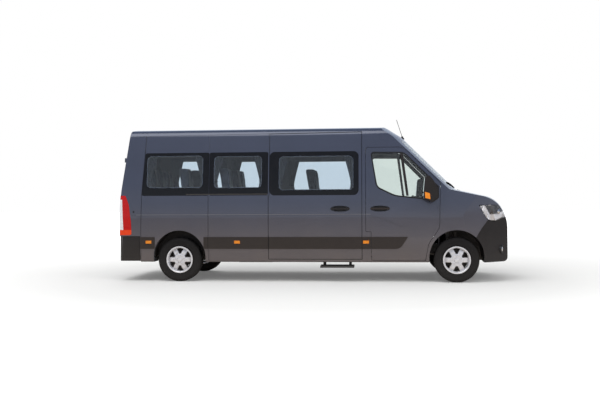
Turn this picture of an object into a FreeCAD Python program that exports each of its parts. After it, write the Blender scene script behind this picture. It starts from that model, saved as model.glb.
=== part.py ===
import FreeCAD, Part

import itertools
import math
import os

from FreeCAD import Placement, Rotation, Vector

# Long, high-roofed minibus. Millimetres. X runs forward, Y to the left and Z up.
# The origin lies on the ground under the middle of the vehicle.

doc = FreeCAD.newDocument("minibus")

# Each row of a size table is: name, value, what it measures.
OVERALL = [
    ("length_all", 6225, "bumper to bumper"),
    ("wheelbase", 4332, "front axle to rear axle"),
    ("front_overhang", 869, "front axle to front bumper"),
    ("width_body", 2040, "across the widest panels"),
    ("shoulder_height", 2390, "ground to the roof's shoulder"),
    ("roof_rise", 110, "shoulder to the peak that the roof's arc is drawn under"),
    ("sill_height", 310, "ground to the body's lower edge"),
    ("belt_height", 1357, "ground to the lower edge of the window band"),
    ("floor_height", 575, "ground to the cabin floor"),
    ("floor_plate", 45, "thickness of the floor"),
    ("wall", 60, "thickness of a body side or door"),
    ("skin", 25, "thickness of bonnet, wings and bumpers"),
    ("pane", 5, "thickness of a pane"),
    ("band_depth", 6, "depth of the recess that panes lie in"),
    ("flange", 10, "width of the seat under a pane's edge"),
    ("seam", 0.3, "gap between fixed pieces"),
    ("door_gap", 6, "gap round a door or lid"),
]
WHEELS = [
    ("tyre_radius", 345, "axle height and tyre radius"),
    ("tyre_width", 225, "width of a tyre"),
    ("rim_radius", 216, "radius of the rim's edge"),
    ("track_front", 1750, "between front wheel centres"),
    ("track_rear", 1730, "between rear wheel centres"),
    ("arch_radius", 418, "radius of a wheel arch"),
    ("arch_rise", 45, "arch centre above the axle"),
    ("kingpin_inset", 75, "wheel centre to the kingpin"),
    ("hub_radius", 80, "radius of a wheel's hub face"),
    ("disc_radius", 150, "radius of a brake disc"),
    ("liner", 5, "thickness of an arch liner"),
]
CABIN = [
    ("row_pitch", 660, "between passenger rows"),
    ("seat_width", 430, "width of a seat"),
    ("seat_height", 450, "floor to the top of a cushion"),
    ("seat_depth", 430, "front to back of a cushion"),
    ("cushion", 120, "thickness of a cushion"),
    ("back_height", 620, "cushion to the top of a backrest"),
    ("back_thickness", 110, "thickness of a backrest"),
    ("headrest_height", 180, "height of a headrest"),
    ("wheel_ring", 200, "radius of the steering wheel"),
    ("curtain", 32, "thickness of a gathered curtain"),
]
POWER = [
    ("engine_length", 520, "front to back of the engine"),
    ("engine_width", 700, "width of the engine"),
    ("engine_height", 700, "height of the engine"),
    ("engine_low", 300.3, "ground to the underside of the engine"),
    ("tank_length", 900, "front to back of the fuel tank"),
    ("tank_width", 380, "width of the fuel tank"),
    ("tank_low", 270, "ground to the underside of the fuel tank"),
    ("spoke_count", 6, "broad spokes of a wheel"),
]


def fill_sheet(tables):
    """A spreadsheet of driving sizes, each value beside its name."""
    book = doc.addObject("Spreadsheet::Sheet", "sizes")
    rows = [row for table in tables for row in table]
    for line, (name, value, note) in enumerate(rows, start=1):
        book.set("A%d" % line, name)
        book.set("B%d" % line, str(value))
        book.set("C%d" % line, note)
        book.setAlias("B%d" % line, name)
    doc.recompute()
    return book


size = fill_sheet([OVERALL, WHEELS, CABIN, POWER])


def bind(piece, bindings):
    """Ties properties of an object to cells of the size sheet."""
    for prop, formula in bindings:
        piece.setExpression(prop, formula)



nose = size.length_all / 2
tail = -nose
front_axle = nose - size.front_overhang
rear_axle = front_axle - size.wheelbase
rear_face = tail + 66
half_width = size.width_body / 2
axle_height = size.tyre_radius
shoulder = size.shoulder_height
belt = size.belt_height
far = 4000
outside = far / 2

# Outlines
# A point of an outline is: first coordinate, second coordinate, corner radius.


def inset(points, depth):
    """The same outline moved inwards by depth, its corner radii following."""
    count = len(points)
    turned = sum(points[i][0] * points[(i + 1) % count][1]
                 - points[(i + 1) % count][0] * points[i][1] for i in range(count))
    sense = 1 if turned > 0 else -1
    sides = []
    for i in range(count):
        ax, ay = points[i][:2]
        bx, by = points[(i + 1) % count][:2]
        run = math.hypot(bx - ax, by - ay)
        ux, uy = (bx - ax) / run, (by - ay) / run
        sides.append((ax - uy * sense * depth, ay + ux * sense * depth, ux, uy))
    moved = []
    for i in range(count):
        ax, ay, aux, auy = sides[i - 1]
        bx, by, bux, buy = sides[i]
        turn = aux * buy - auy * bux
        step = ((bx - ax) * buy - (by - ay) * bux) / turn if abs(turn) > 1e-9 else 0
        start = (ax, ay) if abs(turn) > 1e-9 else (bx, by)
        radius = points[i][2]
        if radius > 0:
            radius = max(radius - depth, 0) if turn * sense > 0 else max(radius + depth, 0)
        moved.append((start[0] + aux * step, start[1] + auy * step, radius))
    return moved


def rounded_wire(points, place):
    """A closed wire of straight runs and tangent arcs, each point put in space by place."""
    count = len(points)
    corners = []
    for i in range(count):
        tip = Vector(points[i][0], points[i][1], 0)
        back = (Vector(points[i - 1][0], points[i - 1][1], 0) - tip).normalize()
        ahead = points[(i + 1) % count]
        on = (Vector(ahead[0], ahead[1], 0) - tip).normalize()
        angle = back.getAngle(on)
        radius = points[i][2]
        if radius < 1e-6 or abs(angle - math.pi) < 1e-6:
            corners.append((tip, tip, None))
            continue
        reach = radius / math.tan(angle / 2)
        middle = (back + on).normalize()
        crown = tip + middle * (radius / math.sin(angle / 2) - radius)
        corners.append((tip + back * reach, tip + on * reach, crown))
    edges = []
    for i in range(count):
        start, end, crown = corners[i]
        if crown is not None:
            edges.append(Part.Arc(place(start), place(crown), place(end)).toShape())
        following = corners[(i + 1) % count][0]
        if (following - end).Length > 1e-4:
            edges.append(Part.makeLine(place(end), place(following)))
    return Part.Wire(edges)


def side_prism(points, y_low, y_high):
    """A prism whose outline (X, Z) is drawn as seen from the side."""
    face = Part.Face(rounded_wire(points, lambda p: Vector(p.x, y_low, p.y)))
    return face.extrude(Vector(0, y_high - y_low, 0))


def plan_prism(points, z_low, z_high):
    """A prism whose outline (X, Y) is drawn as seen from above."""
    face = Part.Face(rounded_wire(points, lambda p: Vector(p.x, p.y, z_low)))
    return face.extrude(Vector(0, 0, z_high - z_low))


def front_prism(points, x_low, x_high):
    """A prism whose outline (Y, Z) is drawn as seen from the front."""
    face = Part.Face(rounded_wire(points, lambda p: Vector(x_low, p.x, p.y)))
    return face.extrude(Vector(x_high - x_low, 0, 0))


def block(x_low, x_high, y_low, y_high, z_low, z_high):
    """A plain box between two corners."""
    return Part.makeBox(x_high - x_low, y_high - y_low, z_high - z_low,
                        Vector(x_low, y_low, z_low))


def rod(radius, start, end):
    """A round bar from one point to another."""
    run = Vector(*end) - Vector(*start)
    return Part.makeCylinder(radius, run.Length, Vector(*start), run)


def mirrored(shape):
    """The same shape on the vehicle's other side."""
    return shape.mirror(Vector(0, 0, 0), Vector(0, 1, 0))


def both(shape):
    """A shape and its mirror image as one compound."""
    return Part.makeCompound([shape, mirrored(shape)])


def joined(shapes):
    """All shapes fused into one."""
    shapes = list(shapes)
    result = shapes[0]
    if len(shapes) > 1:
        result = shapes[0].fuse(shapes[1:])
    return result.removeSplitter()


def keep_large(shape, least=1000):
    """Only the solids of a cut shape that are more than slivers."""
    kept = [solid for solid in shape.Solids if solid.Volume > least]
    return kept[0] if len(kept) == 1 else Part.makeCompound(kept)


def add_piece(label, shape):
    """One sub-part whose shape is worked out above."""
    piece = doc.addObject("Part::Feature", label)
    piece.Label = label
    piece.Shape = shape
    piece.Placement = Placement()
    return piece


# Body envelope
# Three drawn profiles meet: the side profile, swept round a far pivot at the front so
# that nose and windscreen are bowed, the cross section drawn from the front, and the plan.

front_pivot = front_axle - 2880
split = front_axle - 1420

side_front = [
    (front_pivot + 300, size.sill_height, 0),
    (nose, size.sill_height, 60),
    (nose, 960, 600),
    (nose - 167, 1290, 380),
    (front_axle + 60, 1435, 60),
    (front_axle - 790, shoulder - 110, 260),
    (front_axle - 1100, shoulder + 90, 420),
    (front_pivot + 300, shoulder + 90, 0),
]
side_rear = [
    (split + 900, size.sill_height, 0),
    (rear_face, size.sill_height, 0),
    (rear_face + 12, belt - 27, 3000),
    (rear_face + 160, shoulder + 75, 110),
    (split + 900, shoulder + 90, 0),
]
half_section = [
    (half_width - 45, size.sill_height, 30),
    (half_width - 2, 600, 1500),
    (half_width, 1050, 1500),
    (half_width - 25, belt + 93, 3000),
    (half_width - 155, shoulder, 130),
]
section = (half_section + [(0, shoulder + size.roof_rise, 5500)]
           + [(-y, z, radius) for y, z, radius in reversed(half_section)])
half_plan = [
    (rear_face - 40, half_width + 20, 120),
    (front_axle - 150, half_width + 20, 3000),
    (front_axle + 400, half_width - 25, 500),
    (nose - 53, half_width - 360, 330),
    (nose + 347, half_width - 720, 0),
]
plan = half_plan + [(x, -y, radius) for x, y, radius in reversed(half_plan)]


def swept(profile, pivot, angle):
    """A side profile turned to both sides of the centre line round a vertical line."""
    face = Part.Face(rounded_wire(profile, lambda p: Vector(p.x, 0, p.y)))
    face.rotate(Vector(pivot, 0, 0), Vector(0, 0, 1), -angle)
    return face.revolve(Vector(pivot, 0, 0), Vector(0, 0, 1), 2 * angle)


def meet(forms):
    """The solid that three forms share, taken in the first order that leaves one."""
    for first, second, third in itertools.permutations(forms):
        shared = first.common(second).common(third)
        if shared.Solids:
            return shared
    raise RuntimeError("the body's profiles do not meet")


def envelope(depth):
    """The body's outer form moved inwards by depth."""
    ring = inset(section, depth)
    outline = plan_prism(inset(plan, depth), 0, far)
    front = meet((swept(inset(side_front, depth), front_pivot, 50), outline,
                  front_prism(ring, split, far)))
    rear = meet((side_prism(inset(side_rear, depth), -outside, outside), outline,
                 front_prism(ring, -far, split)))
    return front.fuse(rear).removeSplitter()


outer = envelope(0)
under_skin = envelope(size.skin)
under_wall = envelope(size.wall)
under_band = envelope(size.band_depth)
wall_shell = outer.cut(under_wall)
skin_shell = outer.cut(under_skin)
band_shell = outer.cut(under_band)
pane_shell = outer.cut(envelope(size.pane))

# Lines where panels meet

gutter_rear = shoulder - 88
gutter_front = shoulder - 50
cap_start = front_axle - 1443
cap_low = shoulder - 293
scuttle_height = 1493
bonnet_rear = front_axle + 87
bonnet_low = 1195
bonnet_half = half_width - 220
screen_low = 1465
screen_high = shoulder - 175
rear_door_half = 805
rear_door_low = 566
rear_door_high = shoulder - 98
rear_door_rise = size.door_gap + 4


def gutter(x):
    """Height of the seam between side and roof."""
    share = (x - tail) / (cap_start - tail)
    return gutter_rear + share * (gutter_front - gutter_rear)


front_door = [
    (front_axle - 1386, cap_low - size.door_gap, 40),
    (front_axle - 1386, 790, 8),
    (front_axle - 1302, 790, 8),
    (front_axle - 1302, 340, 25),
    (front_axle - 478, 340, 30),
    (front_axle - 431, 600, 200),
    (front_axle - 266, 842, 150),
    (front_axle - 246, 1533, 25),
    (front_axle - 803, cap_low - size.door_gap, 150),
]
slide_rear = front_axle - 2906
slide_front = front_axle - 1447
sliding_door = [
    (slide_rear, 356, 45),
    (slide_front, 356, 45),
    (slide_front, gutter(slide_front) - size.seam, 8),
    (slide_rear + 14, gutter(slide_rear) - size.seam, 8),
    (slide_rear + 14, belt + 40, 0),
    (slide_rear, belt - 40, 0),
]
# The opening of the sliding door runs out at the top, where the roof closes it.
door_opening = [(x, z + 40 if z > cap_low else z, radius)
                for x, z, radius in inset(sliding_door, -size.seam)]
front_window = [
    (front_axle - 1317, shoulder - 366, 50),
    (front_axle - 1225, 1468, 130),
    (front_axle - 940, 1330, 400),
    (front_axle - 388, 1268, 40),
    (front_axle - 392, 1618, 30),
    (front_axle - 792, shoulder - 372, 160),
]
screen = [
    (-850, screen_low, 70),
    (850, screen_low, 70),
    (735, screen_high, 90),
    (-735, screen_high, 90),
]
pillar_x = front_axle - 3849
BAND_TOP = shoulder - 352
# Each row of the window tables is: rear end, front end, lower edge, upper edge, and how
# far forward the rear edge leans. The clear pane lies inside its band.
SLIDE_BAND = (slide_rear + 17, slide_front - 48, belt - 4, BAND_TOP, 0)
BANDS = [
    (rear_face + 360, pillar_x - 2, belt, BAND_TOP, 44),
    (pillar_x + 2, slide_rear - 4, belt, BAND_TOP, 0),
]
SLIDE_PANE = (slide_rear + 164, slide_front - 129, belt + 78, shoulder - 422, 0)
PANES = [
    (rear_face + 436, pillar_x - 101, belt + 124, shoulder - 400, 0),
    (pillar_x + 76, slide_rear - 105, belt + 118, shoulder - 412, 0),
]


def window_outline(row, radius):
    """A window's outline with round corners."""
    rear, front, low, high, lean = row
    return [(rear, low, radius), (front, low, radius), (front, high, radius),
            (rear + lean, high, radius)]


# Side panels

side_outline = [
    (tail, size.sill_height - 20, 0),
    (front_axle - 473, size.sill_height - 20, 0),
    (front_axle - 473, 335, 0),
    (front_axle - 1000, 335, 0),
    (front_axle - 1000, cap_low, 0),
    (cap_start, cap_low, 0),
    (cap_start, gutter(cap_start), 0),
    (tail, gutter(tail), 0),
]
lamp_outline = [
    (rear_face - 60, 737, 0),
    (rear_face + 196, 737, 30),
    (rear_face + 186, 960, 200),
    (rear_face + 150, 1220, 200),
    (rear_face + 96, 1362, 20),
    (rear_face - 60, 1362, 0),
]


def arch_cut(axle, radius, y_low, y_high):
    """The round cut of a wheel arch, open below."""
    centre = axle_height + size.arch_rise
    disc = rod(radius, (axle, y_low, centre), (axle, y_high, centre))
    return disc.fuse(block(axle - radius, axle + radius, y_low, y_high, -10, centre))


rear_arch_x = rear_axle + 5

# Lines pressed into the panels

line_depth = 5
line_shell = outer.cut(envelope(line_depth))


def strip_below(points, width):
    """An outline that follows a run of points and is width deep below them."""
    return [(x, z, 0) for x, z in points] + [(x, z - width, 0) for x, z in reversed(points)]


def strip_ahead(points, width):
    """An outline that follows a rising run of points and is width wide in front of them."""
    return [(x + width, z, 0) for x, z in points] + [(x, z, 0) for x, z in reversed(points)]


def pressed(outline):
    """A line pressed into the right side."""
    return line_shell.common(side_prism(outline, -outside, -rear_door_half - 20))


# The crease runs level along the side and falls on the front door.
crease = pressed(strip_below([
    (rear_face + 215, 1056), (front_axle - 1383, 1056), (front_axle - 1306, 1037),
    (front_axle - 1168, 1003), (front_axle - 1015, 941), (front_axle - 787, 848)], 13))
corner_seam = pressed(strip_ahead([
    (rear_face + 344, 330), (rear_face + 344, 722), (rear_face + 356, belt),
    (rear_face + 400, BAND_TOP), (rear_face + 411, shoulder - 60)], 5))
pillar_seam = pressed(strip_ahead([(pillar_x - 3, 330), (pillar_x - 3, shoulder - 40)], 6))
roof_seam = pressed(strip_below([
    (tail - 10, gutter(tail - 10) + 5), (cap_start, gutter(cap_start) + 5)], 5))


def shut_line(outline):
    """The narrow step round the outer edge of a door that is flush with its panel."""
    whole = side_prism(outline, -outside, -rear_door_half - 20)
    return line_shell.common(whole.cut(side_prism(inset(outline, line_depth), -outside, 0)))


def side_panel():
    """The right body side: sill, pillars, corner and window openings."""
    region = side_prism(side_outline, -outside, -700)
    panel = wall_shell.common(region)
    panel = panel.cut(block(tail - 50, rear_face + 230, -rear_door_half - size.door_gap, 0,
                            rear_door_low - size.door_gap, far))
    panel = panel.cut(side_prism(door_opening, -outside, 0))
    panel = panel.cut(side_prism(inset(front_door, -size.door_gap), -outside, 0))
    panel = panel.cut(arch_cut(rear_arch_x, size.arch_radius, -outside, 0))
    panel = panel.cut(block(front_axle - 465, nose, -outside, 0, 0, shoulder))
    lamp = side_prism(inset(lamp_outline, -size.seam), -outside, -rear_door_half - 17)
    panel = panel.cut(lamp.cut(envelope(40)))
    for band, clear in zip(BANDS, PANES):
        panel = panel.cut(band_shell.common(
            side_prism(window_outline(band, 28), -outside, 0)))
        panel = panel.cut(side_prism(
            inset(window_outline(clear, 70), size.flange), -outside, 0))
    bumper_room = block(tail - 100, rear_face + 332, -outside, 0, 0, 722)
    panel = panel.cut(bumper_room.cut(under_skin))
    return keep_large(panel.cut([crease, corner_seam, pillar_seam]))


right_panel = side_panel()


def left_panel_shape():
    """The left body side is the right one with its sliding door's place closed."""
    panel = mirrored(right_panel)
    infill = wall_shell.common(side_prism(side_outline, 700, outside))
    infill = infill.common(side_prism(inset(door_opening, -0.01), 700, outside))
    infill = infill.cut(band_shell.common(
        side_prism(window_outline(SLIDE_BAND, 80), 0, outside)))
    infill = infill.cut(side_prism(
        inset(window_outline(SLIDE_PANE, 70), size.flange), 0, outside))
    return joined([panel, infill.cut(mirrored(crease))])


add_piece("side_right", right_panel)
add_piece("side_left", left_panel_shape())


# Sliding door, shut in its opening

def sliding_door_shape():
    """The door between the pillars, with its window, crease and shut line."""
    door = wall_shell.common(side_prism(sliding_door, -outside, -700))
    door = door.cut(band_shell.common(side_prism(window_outline(SLIDE_BAND, 80), -outside, 0)))
    door = door.cut(side_prism(inset(window_outline(SLIDE_PANE, 70), size.flange), -outside, 0))
    return door.cut([crease, shut_line(sliding_door)])


handle_height = 1142
handle_length = 285
handle_rise = 86
handle_overlap = 6
trim_proud = 12
handle_floor = envelope(28)
trim_face = envelope(-trim_proud)
trim_back = envelope(-size.seam)


def handle_parts(centre_x):
    """The hollow behind a door handle, and the grip across it."""
    x_low = centre_x - handle_length / 2
    x_high = centre_x + handle_length / 2
    z_low = handle_height - handle_rise / 2
    z_high = handle_height + handle_rise / 2
    oval = [(x_low, handle_height, 0), (centre_x - 60, z_low, 60), (centre_x + 60, z_low, 60),
            (x_high, handle_height, 0), (centre_x + 60, z_high, 60), (centre_x - 60, z_high, 60)]
    hollow = side_prism(oval, -outside, 0).cut(handle_floor)
    bar = window_outline((x_low - handle_overlap, x_high + handle_overlap,
                          handle_height - 14, handle_height + 14, 0), 12)
    grip = side_prism(bar, -outside, 0).common(trim_face).cut(trim_back)
    return hollow, keep_large(grip)


sliding_hollow, sliding_grip = handle_parts(slide_front - 337)
add_piece("sliding_door", sliding_door_shape().cut(sliding_hollow))
add_piece("sliding_handle", sliding_grip)

# Roof

roof_region = [
    (tail - 10, gutter(tail) + size.seam, 0),
    (cap_start - size.seam, gutter(cap_start) + size.seam, 0),
    (cap_start - size.seam, far, 0),
    (tail - 10, far, 0),
]
roof = wall_shell.common(side_prism(roof_region, -outside, outside))
roof = roof.cut(block(tail - 10, rear_face + 300, -rear_door_half - size.door_gap,
                      rear_door_half + size.door_gap, 0, rear_door_high + rear_door_rise))
roof = roof.cut(both(roof_seam))
screen_cut = front_prism(screen, front_axle - 1000, far)
cap_region = [
    (cap_start, cap_low + size.seam, 0),
    (front_axle + 200, cap_low + size.seam, 0),
    (front_axle + 200, far, 0),
    (cap_start, far, 0),
]
roof_cap = wall_shell.common(side_prism(cap_region, -outside, outside)).cut(screen_cut)
add_piece("roof", keep_large(roof))
add_piece("roof_cap", keep_large(roof_cap))

# Windscreen, pillars, scuttle and bulkhead

pillar_region = [
    (front_axle - 1000, scuttle_height + size.seam, 0),
    (front_axle + 200, scuttle_height + size.seam, 0),
    (front_axle + 200, cap_low, 0),
    (front_axle - 1000, cap_low, 0),
]
pillars = wall_shell.common(side_prism(pillar_region, -outside, outside))
pillars = pillars.cut(side_prism(inset(front_door, -size.door_gap), -outside, outside))
pillars = pillars.cut(screen_cut)
scuttle = skin_shell.common(block(front_axle - 240, bonnet_rear - 12, -bonnet_half + size.seam,
                                  bonnet_half - size.seam, 1300, screen_low - size.seam))
bulkhead_x = front_axle - 246
bulkhead = under_skin.common(block(bulkhead_x, bulkhead_x + 15, -half_width, half_width,
                                   size.floor_height - size.floor_plate, 1400))
for side in (-1, 1):
    low, high = sorted((side * 520, side * outside))
    bulkhead = bulkhead.cut(arch_cut(front_axle, size.arch_radius + size.liner + 2, low, high))
    bulkhead = bulkhead.cut(block(bulkhead_x - 10, bulkhead_x + 30, *sorted(
        (side * (half_width - 25 - size.wall), side * outside)), 0, far))
windscreen = keep_large(pane_shell.common(
    front_prism(inset(screen, size.seam), front_axle - 1000, far)))
add_piece("front_structure", Part.makeCompound(
    pillars.Solids + keep_large(scuttle).Solids + keep_large(bulkhead).Solids))
add_piece("windscreen", windscreen)

# Wheel arch, wing, bonnet, lamp and bumper regions at the front

bonnet_region = [
    (bonnet_rear, -bonnet_half, 0),
    (nose - 220, -bonnet_half + 75, 60),
    (nose + 60, -bonnet_half + 330, 0),
    (nose + 60, bonnet_half - 330, 0),
    (nose - 220, bonnet_half - 75, 60),
    (bonnet_rear, bonnet_half, 0),
]
headlamp_outline = [
    (nose - 538, 1190, 6),
    (nose + 100, 1190, 0),
    (nose + 100, 1012, 0),
    (nose - 160, 990, 60),
    (nose - 276, 934, 50),
    (nose - 396, 957, 60),
    (nose - 456, 1049, 60),
]
headlamp_inner = 560
bumper_seam = [
    (front_axle + 250, -100, 0),
    (front_axle + 250, 697, 0),
    (front_axle + 290, 697, 0),
    (front_axle + 376, 835, 60),
    (nose - 396, 957, 20),
    (nose - 276, 934, 20),
    (nose - 160, 1020, 0),
    (nose + 100, 1020, 0),
    (nose + 100, -100, 0),
]
bonnet = skin_shell.common(plan_prism(bonnet_region, bonnet_low, far))
bonnet = keep_large(bonnet.cut(block(-far, bonnet_rear, -far, far, 0, far)))
bonnet_keep_out = plan_prism(inset(bonnet_region, -size.door_gap), bonnet_low - size.door_gap, far)

headlamp_zone = side_prism(headlamp_outline, headlamp_inner, outside)
lamp_depth = 80
headlamp = keep_large(outer.cut(envelope(lamp_depth)).common(headlamp_zone))
headlamp = keep_large(headlamp.cut(bonnet_keep_out))
add_piece("headlamps", both(headlamp))


def wing_shape():
    """The left wing between door, bonnet, lamp and bumper."""
    region = side_prism([
        (front_axle - 473, size.sill_height - 20, 0),
        (nose + 100, size.sill_height - 20, 0),
        (nose + 100, scuttle_height, 0),
        (front_axle - 473, scuttle_height, 0),
    ], 300, outside)
    wing = skin_shell.common(region)
    wing = wing.cut(side_prism(inset(front_door, -size.door_gap), 0, outside))
    wing = wing.cut(block(-far, front_axle - 280, 0, outside, 900, far))
    wing = wing.cut(arch_cut(front_axle, size.arch_radius, 0, outside))
    wing = wing.cut(side_prism(inset(bumper_seam, -size.seam), 0, outside))
    wing = wing.cut(side_prism(inset(headlamp_outline, -size.seam), 0, outside))
    wing = wing.cut(bonnet_keep_out)
    wing = wing.cut(block(-far, bonnet_rear - 12, -far, bonnet_half, 0, far))
    wing = wing.cut(block(bonnet_rear - 12.01, far, 0, 560, 0, far))
    return wing.cut(screen_cut)


# Hinges
# A hinge is a pin between two fixed knuckles, with a moving sleeve round the pin.

pin_radius = 4
knuckle_radius = 7
knuckle_length = 12
arm_clearance = 2


def hinge(origin, axis, length, fixed_arm, moving_arm):
    """Fixed and moving halves, and the room that each of their panels leaves free.

    An arm is a function of its span along the axis.
    """
    start = Vector(*origin)
    run = Vector(*axis)
    pin = Part.makeCylinder(pin_radius, length, start, run)
    low = Part.makeCylinder(knuckle_radius, knuckle_length, start, run)
    high = Part.makeCylinder(knuckle_radius, knuckle_length,
                             start + run * (length - knuckle_length), run)
    inner = knuckle_length + size.seam
    sleeve = Part.makeCylinder(knuckle_radius, length - 2 * inner, start + run * inner, run)
    sleeve = sleeve.cut(Part.makeCylinder(pin_radius + size.seam, length, start, run))
    hole = Part.makeCylinder(pin_radius + size.seam, length, start, run)
    fixed = joined([pin, low, high, fixed_arm(0, knuckle_length),
                    fixed_arm(length - knuckle_length, length)])
    moving = joined([sleeve, moving_arm(inner, length - inner).cut(hole)])
    room = Part.makeCylinder(knuckle_radius + 1.5, length + 4, start - run * 2, run)
    away = (moving.CenterOfGravity - fixed.CenterOfGravity).normalize() * arm_clearance
    end = knuckle_length + arm_clearance
    fixed_room = room.fuse([
        fixed_arm(-arm_clearance, end).translated(away),
        fixed_arm(length - end, length + arm_clearance).translated(away)])
    moving_room = room.fuse(moving_arm(end, length - end).translated(away * -1))
    return fixed, moving, fixed_room, moving_room


door_axis_x = front_axle - 260
door_axis_y = half_width + 3


def door_hinge(z):
    """A hinge of the left front door on the wing's rear edge."""
    return hinge(
        (door_axis_x, door_axis_y, z), (0, 0, 1), 60,
        lambda a, b: block(door_axis_x, door_axis_x + 26, door_axis_y - 14, door_axis_y,
                           z + a, z + b),
        lambda a, b: block(door_axis_x - 26, door_axis_x, door_axis_y - 14, door_axis_y,
                           z + a, z + b))


door_hinges = [door_hinge(z) for z in (905, 1120)]


def with_fixed_hinges(panel, hinges):
    """A fixed panel with its knuckles, cleared round the moving sleeves."""
    for fixed, moving, fixed_room, moving_room in hinges:
        panel = joined([panel.cut(moving_room), fixed])
    return panel


def with_moving_hinges(panel, hinges):
    """A door or lid with its sleeves, cleared round the fixed knuckles."""
    for fixed, moving, fixed_room, moving_room in hinges:
        panel = joined([panel.cut(fixed_room), moving])
    return panel


wing = with_fixed_hinges(keep_large(wing_shape()), door_hinges)
add_piece("front_wings", both(wing))


# Bonnet, hinged at its rear edge

bonnet_axis_x = bonnet_rear - 6
bonnet_axis_z = 1427


def bonnet_hinge(y):
    """A hinge between scuttle and bonnet."""
    return hinge(
        (bonnet_axis_x, y, bonnet_axis_z), (0, 1, 0), 60,
        lambda a, b: block(bonnet_axis_x - 30, bonnet_axis_x, y + a, y + b,
                           bonnet_axis_z - 16, bonnet_axis_z),
        lambda a, b: block(bonnet_axis_x, bonnet_axis_x + 30, y + a, y + b,
                           bonnet_axis_z - 18, bonnet_axis_z))


bonnet_hinges = [bonnet_hinge(y) for y in (-330, 270)]
add_piece("bonnet", with_moving_hinges(bonnet, bonnet_hinges))
front_structure = doc.getObject("front_structure")
parts = sorted(front_structure.Shape.Solids, key=lambda solid: solid.CenterOfMass.x)
scuttle_solid = max(parts, key=lambda solid: solid.CenterOfMass.x)
others = [solid for solid in parts if not solid.isSame(scuttle_solid)]
front_structure.Shape = Part.makeCompound(
    others + with_fixed_hinges(scuttle_solid, bonnet_hinges).Solids)

# Front doors

mould_low = 519
mould_high = 705


def moulding(x_low, x_high, round_front):
    """A strip along the right side, standing proud of the panels."""
    outline = [(x_low, mould_low, 4), (x_high - round_front, mould_low, round_front * 1.1),
               (x_high, mould_high, 4), (x_low, mould_high, 4)]
    return side_prism(outline, -outside, -700).common(trim_face).cut(trim_back)


front_hollow, front_grip = handle_parts(front_axle - 1167)


door_rebate = 12


def front_door_shape():
    """The right front door, its inner wall stepped back from the edges to swing clear."""
    door = wall_shell.common(side_prism(front_door, -outside, -650))
    inner_edge = door.common(under_skin).cut(
        side_prism(inset(front_door, door_rebate), -outside, 0))
    underside = block(tail, far, size.wall + 35 - half_width, 0, 0,
                      size.sill_height + size.wall + 2)
    door = door.cut([inner_edge, underside])
    door = door.cut(band_shell.common(side_prism(front_window, -outside, -600)))
    door = door.cut(side_prism(inset(front_window, size.flange), -outside, -500))
    door = keep_large(keep_large(door).cut([crease, front_hollow]))
    return with_moving_hinges(door, [tuple(mirrored(s) for s in h) for h in door_hinges])


door_right = front_door_shape()
add_piece("front_door_right", door_right)
add_piece("front_door_left", mirrored(door_right))
front_strip = keep_large(moulding(front_axle - 1300, front_axle - 743, 120))
door_trim = Part.makeCompound([front_strip, front_grip])
add_piece("door_trim_right", door_trim)
add_piece("door_trim_left", mirrored(door_trim))
front_glass = keep_large(pane_shell.common(
    side_prism(inset(front_window, size.seam), -outside, -600)))
add_piece("front_glass_right", front_glass)
add_piece("front_glass_left", mirrored(front_glass))

# Window bands and panes of the sides

band_solids = []
pane_solids = []
for band, clear, radius in ((BANDS[0], PANES[0], 28), (BANDS[1], PANES[1], 28),
                            (SLIDE_BAND, SLIDE_PANE, 80)):
    clear_outline = window_outline(clear, 70)
    ring = side_prism(inset(window_outline(band, radius), size.seam), -outside, 0).cut(
        side_prism(clear_outline, -outside, 0))
    band_solids.append(keep_large(pane_shell.common(ring)))
    glass = pane_shell.common(side_prism(inset(clear_outline, size.seam), -outside, 0))
    pane_solids.append(keep_large(glass))
add_piece("window_bands", both(Part.makeCompound(band_solids)))
add_piece("side_windows", both(Part.makeCompound(pane_solids)))

# Rear doors

# Their hinge line leans forward outside the skin, so that the sloping doors swing apart.
rear_lean = 3.2
rear_axis_y = rear_door_half + size.door_gap / 2
rear_middle = 6
rear_middle_deep = 14
rear_window = [(115, belt + 60, 60), (690, belt + 60, 60), (650, shoulder - 400, 60),
               (115, shoulder - 400, 60)]


def rear_axis_x(z):
    """Where the leaning hinge line stands at a height."""
    return rear_face + (z - side_rear[2][1]) * math.tan(math.radians(rear_lean))


def tail_x(z):
    """The tail's outer face on the centre line at a height."""
    start, end = side_rear[1:3] if z < side_rear[2][1] else side_rear[2:4]
    return start[0] + (end[0] - start[0]) * (z - start[1]) / (end[1] - start[1])


def rear_hinge(z):
    """A hinge of the left rear door, drawn upright and then leaned with its line."""
    x = rear_axis_x(z)
    reach = tail_x(z) - x + 30
    upright = hinge(
        (x, rear_axis_y, z), (0, 0, 1), 70,
        lambda a, b: block(x, x + reach, rear_axis_y, rear_axis_y + 12, z + a, z + b),
        lambda a, b: block(x, x + reach, rear_axis_y - 12, rear_axis_y, z + a, z + b))
    return [shape.rotated(Vector(x, 0, z), Vector(0, 1, 0), rear_lean) for shape in upright]


rear_hinges = [rear_hinge(z) for z in (740, 1400, 1900)]


def rear_door_shape():
    """The left rear door with its window, plate recess and sleeves."""
    region = front_prism([
        (rear_middle, rear_door_low, 5), (rear_door_half, rear_door_low, 60),
        (rear_door_half, rear_door_high, 90), (rear_middle, rear_door_high, 5),
    ], tail - 50, rear_face + 300)
    door = wall_shell.common(region)
    door = door.cut(under_skin.common(
        block(tail, rear_face + 300, -100, rear_middle_deep, 0, far)))
    door = door.cut(band_shell.common(front_prism(rear_window, tail - 50, rear_face + 300)))
    door = door.cut(front_prism(inset(rear_window, size.flange), tail - 50, rear_face + 300))
    return with_moving_hinges(keep_large(door), rear_hinges)


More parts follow.
